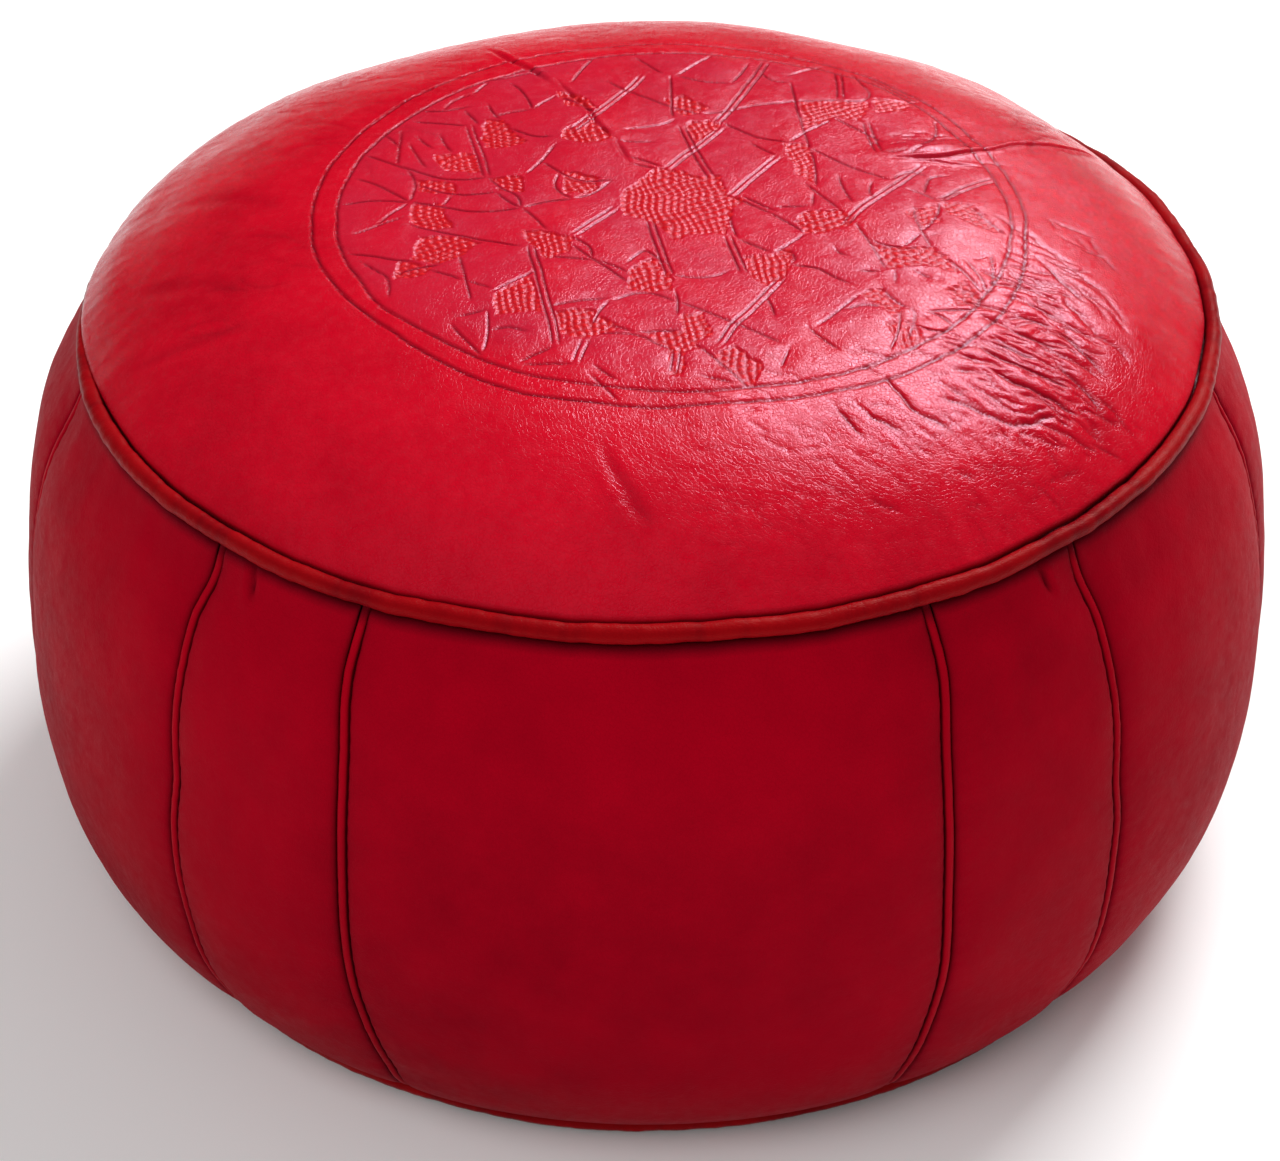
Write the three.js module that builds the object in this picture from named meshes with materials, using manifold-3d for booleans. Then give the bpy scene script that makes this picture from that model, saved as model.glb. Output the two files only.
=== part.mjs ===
// A round, stuffed leather pouf: a domed top, twelve side panels with raised welts in their seams, a rolled
// piping round each edge, and a flat base in two halves with a zip between them. Inside are a cotton bag and
// its stuffing. Millimetres, +Z up, front towards -Y. The origin is at the middle of the base, on the floor.

import * as THREE from 'three';
import { mergeVertices } from 'three/addons/utils/BufferGeometryUtils.js';
import Module from 'manifold-3d';

// ---------------------------------------------------------------- driving dimensions

const EQUATOR_RADIUS = 275;         // half the pouf's greatest width
const EQUATOR_HEIGHT = 115;
const GAP = 0.3;                    // between pieces that touch
const ROUND_STEPS = 48;             // facets round the pouf
const WELD = 1e-4;                  // points nearer than this are one point

const LEATHER = 2;                  // thickness of a leather panel
const DOME_EDGE_RADIUS = 232.6;
const DOME_EDGE_HEIGHT = 261.4;
const DOME_RISE = 45;
const DOME_POWER = 4.6;             // 2 would be a parabola; more is flatter in the middle
const DOME_STEPS = 7;

const PIPING_RADIUS = 4.75;
const PIPING_WALL = 1.2;
const PIPING_FACETS = 7;
const PIPING_SLIT = 40;             // degrees left open where the two edges of the strip are sewn together
const TOP_PIPING = { radius: 238, height: 257, slitAt: 200 };
const BOTTOM_PIPING = { radius: 242, height: 6, slitAt: 160 };

// The side's outline as radius and height, from under the top piping down to over the bottom one.
const SIDE_OUTLINE = [
  [238.5, 251.8],
  [243.5, 241],
  [259, 211],
  [269.3, 172],
  [EQUATOR_RADIUS, EQUATOR_HEIGHT],
  [271, 64],
  [262, 34],
  [254, 19],
  [246, 10],
];
const SIDE_STEPS = 8;

// Where each side panel starts, in degrees round from the front; each ends where the next starts.
const SIDE_PANELS = [
  ['side_panel_front', -25.1],
  ['side_panel_right_front_narrow', 25.1],
  ['side_panel_right_front', 42.5],
  ['side_panel_right', 75],
  ['side_panel_right_back', 105],
  ['side_panel_right_back_narrow', 137.5],
  ['side_panel_back', 154.9],
  ['side_panel_left_back_narrow', 205.1],
  ['side_panel_left_back', 222.5],
  ['side_panel_left', 255],
  ['side_panel_left_front', 285],
  ['side_panel_left_front_narrow', 317.5],
];
const WELT_WIDTH = 4;
const WELT_PROUD = 1;

const BASE_RADIUS = 236.5;
const RECESS = { halfLength: 215, halfWidth: 14 };   // the opening in the base that the zip sits above
const FACING_FLANGE = 12;           // how far a facing laps over the base, inside
const SHELF_HALF_WIDTH = 7;         // the facings' inner edges, either side of the teeth
const SHELF_HALF_LENGTH = 190;

const ZIP_HEIGHT = 10;              // the middle of the teeth, above the floor
const TAPE = { thickness: 0.8, inner: 2.7, outer: 20, halfLength: 203 };
const TEETH = { inner: 0.8, root: 1.9, outer: 2.4, thickness: 3.2, pitch: 6, width: 3, halfLength: 177 };
const STOP = { length: 4, thickness: 6, clearance: 1 };   // clearance: left between a stop and the slider
const SLIDER = {
  length: 14,
  noseLength: 5,
  plate: 1.5,
  mouth: 4.8,                       // clear height between the plates
  halfWidth: 5.4,
  noseHalfWidth: 3.6,
  flange: 1.2,
  tapeSlot: 1.6,
  web: 1,
};
const ZIP_TRAVEL_HALF = 172;        // the slider's middle when the zip is shut or open
const BRIDGE = { halfLength: 4.6, post: 1.2, width: 2.4, bar: 0.8, clear: 2.1 };
const TAB = { length: 26, width: 8, thickness: 1.2, pin: 1.4, eyeWidth: 3.4, eyeLength: 4.9, restTilt: 8 };

const LINER = 1.2;                  // the cotton bag's wall
const LINER_INSET = 1;              // how far the bag hangs inside the leather
const LINER_FLOOR = 2.6;
const LINER_HEEL = 232;             // radius of the bag's flat bottom
const LINER_SLIT = { halfLength: 150, width: 6 };
const CHANNEL = { halfLength: 230, halfWidth: 29, height: 14.8 };   // keeps bag and stuffing off the zip

// ---------------------------------------------------------------- materials

function finish(colour, roughness, metalness = 0) {
  return new THREE.MeshStandardMaterial({ color: colour, roughness, metalness });
}

const TOP_LEATHER = finish(0xc01a30, 0.42);
const SIDE_LEATHER = finish(0x8a0720, 0.55);
const PIPING_LEATHER = finish(0xab1220, 0.48);
const BASE_LEATHER = finish(0x7a0c1c, 0.7);
const COTTON = finish(0xd8cdb8, 0.95);
const CORD = finish(0xcfc3a4, 0.95);
const WADDING = finish(0xe4ddd0, 1);
const TAPE_CLOTH = finish(0x6e1420, 0.9);
const BRASS = finish(0xb08d4a, 0.35, 1);

// ---------------------------------------------------------------- solids

const wasm = await Module();
wasm.setup();

function solid(geometry) {
  const bare = geometry.clone();
  bare.deleteAttribute('normal');
  bare.deleteAttribute('uv');
  const merged = mergeVertices(bare, WELD);
  const corners = merged.index.array;
  const kept = [];
  for (let i = 0; i < corners.length; i += 3) {
    const [a, b, c] = corners.slice(i, i + 3);
    if (a !== b && b !== c && c !== a) kept.push(a, b, c);
  }
  return new wasm.Manifold(new wasm.Mesh({
    numProp: 3,
    vertProperties: new Float32Array(merged.attributes.position.array),
    triVerts: new Uint32Array(kept),
  }));
}

function geometryOf(body) {
  const mesh = body.getMesh();
  const geometry = new THREE.BufferGeometry();
  geometry.setAttribute('position', new THREE.BufferAttribute(mesh.vertProperties, 3));
  geometry.setIndex(new THREE.BufferAttribute(mesh.triVerts, 1));
  geometry.computeVertexNormals();
  return geometry;
}

const pouf = new THREE.Group();

function addMesh(name, body, material, parent = pouf) {
  const mesh = new THREE.Mesh(geometryOf(body), material);
  mesh.name = name;
  parent.add(mesh);
  return mesh;
}

// A closed section of [radius, height] points, turned once about the upright axis; azimuth 0 is the front.
function turned(section) {
  const points = section.map(([radius, height]) => new THREE.Vector2(radius, height));
  if (points[0].x > 0 || points.at(-1).x > 0) points.push(points[0].clone());
  return solid(new THREE.LatheGeometry(points, ROUND_STEPS).rotateX(Math.PI / 2));
}

function block(sizeX, sizeY, sizeZ, x, y, z) {
  return solid(new THREE.BoxGeometry(sizeX, sizeY, sizeZ).translate(x, y, z));
}

function outline(points) {
  return new THREE.Shape(points.map(([x, y]) => new THREE.Vector2(x, y)));
}

function rectangle(halfX, halfY) {
  return outline([[-halfX, -halfY], [halfX, -halfY], [halfX, halfY], [-halfX, halfY]]);
}

// A plan outline in X and Y, as a plate between two heights.
function plate(shape, low, high) {
  const flat = new THREE.ExtrudeGeometry(shape, { depth: high - low, bevelEnabled: false });
  return solid(flat.translate(0, 0, low));
}

// A section drawn in Y and Z, drawn out along X about the middle.
function alongX(points, length) {
  const bar = new THREE.ExtrudeGeometry(outline(points), { depth: length, bevelEnabled: false });
  const toX = new THREE.Matrix4().makeBasis(
    new THREE.Vector3(0, 1, 0),
    new THREE.Vector3(0, 0, 1),
    new THREE.Vector3(1, 0, 0),
  );
  return solid(bar.translate(0, 0, -length / 2).applyMatrix4(toX));
}

function frame(halfX, halfY, holeX, holeY, low, high) {
  return plate(rectangle(halfX, halfY), low, high)
    .subtract(block(2 * holeX, 2 * holeY, 3 * high, 0, 0, (low + high) / 2));
}

// ---------------------------------------------------------------- the outlines that the skins follow

function domeOutline(inset) {
  const points = [];
  for (let i = 0; i <= DOME_STEPS; i += 1) {
    const share = Math.sin((i / DOME_STEPS) * (Math.PI / 2));
    const height = DOME_EDGE_HEIGHT + DOME_RISE * (1 - share ** DOME_POWER);
    points.push([DOME_EDGE_RADIUS * share, height]);
  }
  return insetOutline(points, inset);
}

function sideOutline(inset) {
  const controls = SIDE_OUTLINE.map(([radius, height]) => new THREE.Vector2(radius, height));
  const curve = new THREE.SplineCurve(controls);
  const points = curve.getSpacedPoints(SIDE_STEPS).map((point) => [point.x, point.y]);
  return insetOutline(points, inset);
}

// The same points moved to the inner side of an outline that runs from the top of the pouf downwards.
function insetOutline(points, inset) {
  return points.map(([radius, height], i) => {
    const [radiusBefore, heightBefore] = points[Math.max(i - 1, 0)];
    const [radiusAfter, heightAfter] = points[Math.min(i + 1, points.length - 1)];
    const along = new THREE.Vector2(radiusAfter - radiusBefore, heightAfter - heightBefore).normalize();
    const inner = radius === 0 ? 0 : radius + along.y * inset;
    return [inner, height - (radius === 0 ? 1 : along.x) * inset];
  });
}

// A closed body of revolution that lies the given distance inside the leather all round.
function filling(inset, floor) {
  const dome = domeOutline(inset).slice(0, -1);
  const side = sideOutline(inset).slice(1, -1);
  const heel = LINER_HEEL - floor + LINER_FLOOR;
  return turned([[0, floor], [heel, floor], ...side.reverse(), ...dome.reverse()]);
}

function channel(extra) {
  const height = CHANNEL.height + extra;
  return block(
    2 * (CHANNEL.halfLength + extra), 2 * (CHANNEL.halfWidth + extra), 2 * height, 0, 0, 0,
  );
}

// ---------------------------------------------------------------- top, sides and pipings

function addTop() {
  const outside = domeOutline(0);
  const inside = domeOutline(LEATHER);
  addMesh('top_panel', turned([...inside, ...outside.reverse()]), TOP_LEATHER);
}

// Everything between two azimuths, from the floor up to the dome.
function wedge(fromDegrees, toDegrees) {
  const reach = 2 * EQUATOR_RADIUS;
  const middle = (fromDegrees + toDegrees) / 2;
  const corners = [fromDegrees, middle, toDegrees].map((degrees) => {
    const azimuth = THREE.MathUtils.degToRad(degrees);
    return [reach * Math.sin(azimuth), -reach * Math.cos(azimuth)];
  });
  return plate(outline([[0, 0], ...corners]), 0, DOME_EDGE_HEIGHT);
}

// An upright slab along one seam, from well inside the side to well outside it.
function seamSlab(degrees, width) {
  const inner = EQUATOR_RADIUS / 2;
  const outer = 2 * EQUATOR_RADIUS;
  return block(width, outer - inner, 2 * DOME_EDGE_HEIGHT, 0, -(inner + outer) / 2, 0)
    .rotate([0, 0, degrees]);
}

function addSides() {
  let shell = turned([...sideOutline(0).reverse(), ...sideOutline(LEATHER)]);
  const weltShell = turned([...sideOutline(-WELT_PROUD).reverse(), ...sideOutline(LEATHER / 2)]);
  for (const [, start] of SIDE_PANELS) {
    shell = shell.subtract(seamSlab(start, WELT_WIDTH + 2 * GAP));
  }
  SIDE_PANELS.forEach(([name, start], i) => {
    const next = SIDE_PANELS[(i + 1) % SIDE_PANELS.length][1];
    const end = next < start ? next + 360 : next;
    addMesh(name, shell.intersect(wedge(start, end)), SIDE_LEATHER);
    addMesh(`side_welt_${i + 1}`, weltShell.intersect(seamSlab(start, WELT_WIDTH)), SIDE_LEATHER);
  });
}

// Points on a circle about a ring's section, in degrees anticlockwise from straight out.
function arc(ring, radius, from, to, steps) {
  const points = [];
  for (let i = 0; i <= steps; i += 1) {
    const angle = THREE.MathUtils.degToRad(from + ((to - from) * i) / steps);
    points.push([ring.radius + radius * Math.cos(angle), ring.height + radius * Math.sin(angle)]);
  }
  return points;
}

function addPiping(name, ring) {
  const start = ring.slitAt + PIPING_SLIT / 2;
  const end = ring.slitAt - PIPING_SLIT / 2 + 360;
  const outside = arc(ring, PIPING_RADIUS, start, end, PIPING_FACETS - 1);
  const inside = arc(ring, PIPING_RADIUS - PIPING_WALL, end, start, PIPING_FACETS - 1);
  addMesh(name, turned([...outside, ...inside]), PIPING_LEATHER);
  const cordRadius = PIPING_RADIUS - PIPING_WALL - 3 * GAP;
  addMesh(`${name}_cord`, turned(arc(ring, cordRadius, 0, 360, PIPING_FACETS).slice(0, -1)), CORD);
}

// ---------------------------------------------------------------- base and zip

const HALVES = [['front', -1], ['back', 1]];

// Everything on one side of the line that the zip runs along.
function halfSpace(side, gap) {
  const size = 4 * EQUATOR_RADIUS;
  return block(size, size, size, 0, side * (size / 2 + gap / 2), 0);
}

function addBase() {
  const disc = turned([[0, 0], [BASE_RADIUS, 0], [BASE_RADIUS, LEATHER], [0, LEATHER]]);
  const opening = block(2 * RECESS.halfLength, 2 * RECESS.halfWidth, 4 * LEATHER, 0, 0, 0);
  for (const [half, side] of HALVES) {
    const panel = disc.subtract(opening).intersect(halfSpace(side, GAP));
    addMesh(`base_panel_${half}`, panel, BASE_LEATHER);
  }
}

// Each facing laps over the base inside, turns up beside the recess and ends in a shelf under the tape.
function addFacings() {
  const low = LEATHER + GAP;
  const shelfTop = ZIP_HEIGHT - TAPE.thickness / 2 - GAP;
  const { halfLength, halfWidth } = RECESS;
  const flange = frame(
    halfLength + FACING_FLANGE, halfWidth + FACING_FLANGE, halfLength, halfWidth, low, low + LEATHER,
  );
  const wall = frame(halfLength + LEATHER, halfWidth + LEATHER, halfLength, halfWidth, low, shelfTop);
  const shelf = frame(
    halfLength + LEATHER, halfWidth + LEATHER, SHELF_HALF_LENGTH, SHELF_HALF_WIDTH,
    shelfTop - LEATHER, shelfTop,
  );
  const whole = flange.add(wall).add(shelf);
  for (const [half, side] of HALVES) {
    addMesh(`zip_facing_${half}`, whole.intersect(halfSpace(side, GAP)), BASE_LEATHER);
  }
}

function addTapes() {
  for (const [half, side] of HALVES) {
    const width = TAPE.outer - TAPE.inner;
    const middle = side * (TAPE.inner + width / 2);
    const tape = block(2 * TAPE.halfLength, width, TAPE.thickness, 0, middle, ZIP_HEIGHT);
    addMesh(`zip_tape_${half}`, tape, TAPE_CLOTH);
  }
}

// A row of teeth stands on a narrow spine along the tape's edge.
function addTeeth() {
  const count = Math.floor((2 * TEETH.halfLength) / TEETH.pitch);
  const start = -(count * TEETH.pitch) / 2;
  for (const [half, side] of HALVES) {
    const comb = [[start, side * TEETH.outer]];
    for (let i = 0; i < count; i += 1) {
      const x = start + i * TEETH.pitch + (side > 0 ? TEETH.pitch - TEETH.width : 0);
      comb.push([x, side * TEETH.root], [x, side * TEETH.inner]);
      comb.push([x + TEETH.width, side * TEETH.inner], [x + TEETH.width, side * TEETH.root]);
    }
    comb.push([start + count * TEETH.pitch, side * TEETH.outer]);
    const row = plate(outline(comb), ZIP_HEIGHT - TEETH.thickness / 2, ZIP_HEIGHT + TEETH.thickness / 2);
    addMesh(`zip_teeth_${half}`, row, BRASS);
  }
}

function addStops() {
  const shut = ZIP_TRAVEL_HALF + (SLIDER.length + STOP.length) / 2 + STOP.clearance;
  const width = TEETH.outer - TEETH.inner;
  for (const [half, side] of HALVES) {
    const y = side * (TEETH.inner + width / 2);
    addMesh(`zip_top_stop_${half}`, block(STOP.length, width, STOP.thickness, shut, y, ZIP_HEIGHT), BRASS);
  }
  const across = 2 * TEETH.outer;
  addMesh('zip_bottom_stop', block(STOP.length, across, STOP.thickness, -shut, 0, ZIP_HEIGHT), BRASS);
}

// The slider's section is an H on its side: two plates joined by a thin web between the rows of teeth, each
// with a flange at either edge that leaves a slot for the tape.
function sliderSection() {
  const inner = SLIDER.mouth / 2;
  const outer = inner + SLIDER.plate;
  const lip = SLIDER.tapeSlot / 2;
  const edge = SLIDER.halfWidth;
  const flange = edge - SLIDER.flange;
  const web = SLIDER.web / 2;
  const upperRight = [[web, inner], [flange, inner], [flange, lip], [edge, lip], [edge, outer]];
  const upperLeft = upperRight.map(([y, z]) => [-y, z]).reverse();
  const lowerLeft = upperRight.map(([y, z]) => [-y, -z]);
  const lowerRight = upperRight.map(([y, z]) => [y, -z]).reverse();
  return [...upperRight, ...upperLeft, ...lowerLeft, ...lowerRight]
    .map(([y, z]) => [y, z + ZIP_HEIGHT]);
}

function addSlider(group) {
  const half = SLIDER.length / 2;
  const shoulder = half - SLIDER.noseLength;
  const plan = outline([
    [-half, -SLIDER.noseHalfWidth],
    [-shoulder, -SLIDER.halfWidth],
    [half, -SLIDER.halfWidth],
    [half, SLIDER.halfWidth],
    [-shoulder, SLIDER.halfWidth],
    [-half, SLIDER.noseHalfWidth],
  ]);
  const body = alongX(sliderSection(), SLIDER.length)
    .intersect(plate(plan, 0, 2 * ZIP_HEIGHT));
  const under = ZIP_HEIGHT - SLIDER.mouth / 2 - SLIDER.plate;
  const archTop = under + SLIDER.plate / 2;
  const archHeight = SLIDER.plate / 2 + BRIDGE.clear + BRIDGE.bar;
  const arch = block(2 * BRIDGE.halfLength, BRIDGE.width, archHeight, 0, 0, archTop - archHeight / 2);
  const openingHalf = BRIDGE.halfLength - BRIDGE.post;
  const opening = block(2 * openingHalf, 2 * BRIDGE.width, BRIDGE.clear, 0, 0, under - BRIDGE.clear / 2);
  addMesh('zip_slider', body.add(arch.subtract(opening)), BRASS, group);
}

// The tab hangs on its own cross bar under the slider's bridge. At rest its free end is tipped down a little.
function addTab(group) {
  const pinHeight = ZIP_HEIGHT - SLIDER.mouth / 2 - SLIDER.plate - BRIDGE.clear / 2;
  const half = TAB.width / 2;
  const nose = half / 2;
  const pin = TAB.pin / 2;
  const plan = outline([
    [pin, -half], [pin, half],
    [-TAB.length + nose, half], [-TAB.length, nose],
    [-TAB.length, -nose], [-TAB.length + nose, -half],
  ]);
  const eye = block(TAB.eyeLength, TAB.eyeWidth, 4 * TAB.thickness, -pin - TAB.eyeLength / 2, 0, 0);
  const tab = plate(plan, -TAB.thickness / 2, TAB.thickness / 2).subtract(eye);
  const mesh = addMesh('zip_pull_tab', tab, BRASS, group);
  mesh.rotation.y = -THREE.MathUtils.degToRad(TAB.restTilt);
  mesh.position.z = pinHeight;
}

// ---------------------------------------------------------------- bag and stuffing

function addFilling() {
  const bagInset = LEATHER + LINER_INSET;
  const bagInside = filling(bagInset + LINER, LINER_FLOOR + LINER).subtract(channel(LINER));
  const slit = block(
    2 * LINER_SLIT.halfLength, LINER_SLIT.width, 4 * LINER, 0, 0, CHANNEL.height,
  );
  const bag = filling(bagInset, LINER_FLOOR).subtract(channel(0)).subtract(bagInside).subtract(slit);
  addMesh('cotton_inner_bag', bag, COTTON);
  const stuffing = filling(bagInset + LINER + GAP, LINER_FLOOR + LINER + GAP).subtract(channel(LINER + GAP));
  addMesh('stuffing', stuffing, WADDING);
}

// ---------------------------------------------------------------- assembly

addTop();
addPiping('top_piping', TOP_PIPING);
addSides();
addPiping('bottom_piping', BOTTOM_PIPING);
addBase();
addFacings();
addTapes();
addTeeth();
addStops();

const sliderGroup = new THREE.Group();
sliderGroup.position.x = ZIP_TRAVEL_HALF;
pouf.add(sliderGroup);
addSlider(sliderGroup);
addTab(sliderGroup);

addFilling();

export default pouf;
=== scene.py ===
"""A round, stuffed leather pouf with a hand tooled medallion on its top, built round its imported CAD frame.

Shapes are worked out in millimetres, front towards -Y and +Z up, and become metres when a mesh is made.
Azimuths are in degrees round from the front, towards +X.
"""

import math

import bpy
import numpy as np
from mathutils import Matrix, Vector


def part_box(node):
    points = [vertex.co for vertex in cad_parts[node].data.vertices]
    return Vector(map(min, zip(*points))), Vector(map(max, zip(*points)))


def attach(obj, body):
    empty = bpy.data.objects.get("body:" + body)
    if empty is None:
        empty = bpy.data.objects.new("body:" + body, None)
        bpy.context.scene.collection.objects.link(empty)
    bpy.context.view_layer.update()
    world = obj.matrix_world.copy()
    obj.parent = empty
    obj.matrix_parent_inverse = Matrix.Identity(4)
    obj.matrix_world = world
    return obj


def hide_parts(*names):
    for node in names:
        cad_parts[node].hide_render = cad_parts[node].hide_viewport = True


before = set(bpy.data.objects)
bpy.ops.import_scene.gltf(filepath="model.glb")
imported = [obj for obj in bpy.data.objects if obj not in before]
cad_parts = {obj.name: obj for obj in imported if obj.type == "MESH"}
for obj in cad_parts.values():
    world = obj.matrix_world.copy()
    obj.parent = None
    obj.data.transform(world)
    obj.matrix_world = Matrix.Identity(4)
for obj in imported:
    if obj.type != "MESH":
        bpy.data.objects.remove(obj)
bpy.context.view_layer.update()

MM = 0.001
BODY = "pouf_body"


def cad_box(node):
    """The lowest and highest corner of a CAD node in millimetres."""
    low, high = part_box(node)
    return np.array(low) / MM, np.array(high) / MM


# ---------------- dimensions, from the frame where 

_, TOP_HIGH = cad_box("top_panel")
DOME_RADIUS = TOP_HIGH[0]
DOME_TOP = TOP_HIGH[2]
DOME_RISE = 45.0
DOME_RIM = DOME_TOP - DOME_RISE
DOME_POWER = 4.6

_, PIPING_HIGH = cad_box("top_piping")
PIPING_RADIUS = 4.75
TOP_RING = PIPING_HIGH[0] - PIPING_RADIUS
TOP_RING_HEIGHT = 257.0
BOTTOM_RING = 242.0
BOTTOM_RING_HEIGHT = 6.0

EQUATOR_RADIUS = 275.0
# The side as radius and height, from under the top piping down to over the bottom one.
SIDE_OUTLINE = [
    (237.2, 252.6), (238.5, 251.2), (243.5, 241), (259, 211), (269.3, 172), (EQUATOR_RADIUS, 115),
    (271, 64), (262, 34), (254, 19), (246.5, 11), (243.5, 10.6),
]
# The seams of one quarter; the other three mirror them.
QUARTER = [25.1, 42.5, 75]
SEAMS = [-QUARTER[0], *QUARTER]
SEAMS += [180 - seam for seam in reversed(QUARTER)] + [180 + seam for seam in QUARTER]
SEAMS += [360 - seam for seam in reversed(QUARTER[1:])]
RIGHT_SIDE = ["right_front_narrow", "right_front", "right", "right_back", "right_back_narrow"]
LEFT_SIDE = [place.replace("right", "left") for place in reversed(RIGHT_SIDE)]
SIDE_NAMES = ["side_panel_" + place for place in ["front", *RIGHT_SIDE, "back", *LEFT_SIDE]]
WELT_HALF = 1.9
LEATHER = 2.0
TOP_THICKNESS = LEATHER + 0.6

# ---------------- small tools


def gradient_noise(points, size, seed):
    """Smooth noise of about -1 to 1 at points (..., 3), with lumps of about that size."""
    rng = np.random.default_rng(seed)
    table = rng.permutation(256)
    slopes = rng.normal(size=(256, 3))
    slopes /= np.linalg.norm(slopes, axis=1, keepdims=True)
    place = np.asarray(points, float) / size
    cell = np.floor(place).astype(int)
    part = place - cell
    fade = part * part * part * (part * (part * 6 - 15) + 10)
    total = np.zeros(place.shape[:-1])
    for corner in np.ndindex(2, 2, 2):
        at = (cell + corner) & 255
        pick = table[(table[(table[at[..., 0]] + at[..., 1]) & 255] + at[..., 2]) & 255]
        weight = np.prod(np.where(corner, fade, 1 - fade), axis=-1)
        total += weight * ((part - corner) * slopes[pick]).sum(-1)
    return total * 1.7


NOISE_RING = 240.0


def ring_noise(azimuth, size, seed):
    """Noise along a circle that meets itself, for an array of azimuths in degrees."""
    a = np.radians(azimuth)
    place = np.stack([NOISE_RING * np.sin(a), -NOISE_RING * np.cos(a), 0 * a], -1)
    return gradient_noise(place, size, seed)


def line_noise(along, size, seed):
    """Noise along a straight line."""
    return gradient_noise(np.stack([along, 0 * along, 0 * along], -1), size, seed)


def bell(distance, width):
    """1 at no distance, falling away to nothing over about two widths."""
    return np.exp(-((distance / width) ** 2))


def smooth_step(value, low, high):
    """0 up to low, 1 from high on, and an even slope between."""
    t = np.clip((value - low) / (high - low), 0, 1)
    return t * t * (3 - 2 * t)


def rounded(line, rounds=2, closed=False):
    """A polyline with its corners cut off, a few times over."""
    points = np.array(line, float)
    if len(points) < 3:
        return points
    for _ in range(rounds):
        ahead = np.roll(points, -1, 0)
        near, far = 0.75 * points + 0.25 * ahead, 0.25 * points + 0.75 * ahead
        cut = np.stack([near, far], 1).reshape(-1, 2)
        points = cut if closed else np.vstack([points[:1], cut[1:-3], points[-1:]])
    return np.vstack([points, points[:1]]) if closed else points


def shifted(line, offset):
    """A polyline moved sideways."""
    along = np.gradient(line, axis=0)
    along /= np.linalg.norm(along, axis=1, keepdims=True)
    return line + offset * np.stack([-along[:, 1], along[:, 0]], -1)


def inside(x, y, outline):
    """Whether each point lies in a closed outline."""
    result = np.zeros(x.shape, bool)
    xs, ys = np.array(outline, float).T
    for xa, ya, xb, yb in zip(xs, ys, np.roll(xs, -1), np.roll(ys, -1)):
        if ya != yb:
            crosses = ((ya > y) != (yb > y)) & (x < (xb - xa) * (y - ya) / (yb - ya) + xa)
            result ^= crosses
    return result


def add_mesh(name, points, faces, material, body=BODY, attributes=None):
    """A smooth mesh piece from points in millimetres, riding on a CAD body."""
    mesh = bpy.data.meshes.new(name)
    points = np.asarray(points, np.float32).reshape(-1, 3) * MM
    faces = [np.asarray(group, np.int32) for group in (faces if isinstance(faces, list) else [faces])]
    corners = np.concatenate([group.ravel() for group in faces])
    sizes = np.concatenate([np.full(len(group), group.shape[1], np.int32) for group in faces])
    mesh.vertices.add(len(points))
    mesh.vertices.foreach_set("co", points.ravel())
    mesh.loops.add(len(corners))
    mesh.loops.foreach_set("vertex_index", corners)
    mesh.polygons.add(len(sizes))
    starts = np.concatenate([[0], np.cumsum(sizes)[:-1]])
    mesh.polygons.foreach_set("loop_start", starts.astype(np.int32))
    mesh.polygons.foreach_set("loop_total", sizes)
    mesh.polygons.foreach_set("use_smooth", np.full(len(sizes), True))
    for key, values in (attributes or {}).items():
        layer = mesh.attributes.new(key, "FLOAT", "POINT")
        layer.data.foreach_set("value", np.asarray(values, np.float32).ravel())
    mesh.update()
    mesh.validate()
    mesh.materials.append(material)
    piece = bpy.data.objects.new(name, mesh)
    bpy.context.scene.collection.objects.link(piece)
    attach(piece, body)
    return piece


def grid_faces(rows, columns, close_rows=False, close_columns=False, flip=False):
    """Quads over a grid of points that is stored row by row."""
    index = np.arange(rows * columns).reshape(rows, columns)
    if close_rows:
        index = np.vstack([index, index[:1]])
    if close_columns:
        index = np.hstack([index, index[:, :1]])
    quads = np.stack([index[:-1, :-1], index[1:, :-1], index[1:, 1:], index[:-1, 1:]], -1).reshape(-1, 4)
    return quads[:, ::-1] if flip else quads


def repeated(faces, count, points_each):
    """The faces of many copies of one part, whose points follow one another."""
    shift = (np.arange(count) * points_each)[:, None, None]
    return [(group + shift).reshape(-1, group.shape[1]) for group in faces]


def painted_shade_only(painted_shade):
    """The leather's attributes on a piece without punched dots: its painted shade in creases and recesses,
    and no stipple.
    """
    return {"painted_shade": painted_shade, "stipple": 0 * painted_shade}


def around(radius, azimuth, height):
    """Points from radius, azimuth in degrees and height."""
    a = np.radians(azimuth)
    return np.stack(np.broadcast_arrays(radius * np.sin(a), -radius * np.cos(a), height), -1)


def thicken(piece, thickness):
    """Give a skin its thickness, inwards from its visible side."""
    shell = piece.modifiers.new("thickness", "SOLIDIFY")
    shell.thickness = thickness * MM
    shell.offset = -1
    shell.use_even_offset = False


# ---------------- materials


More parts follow.
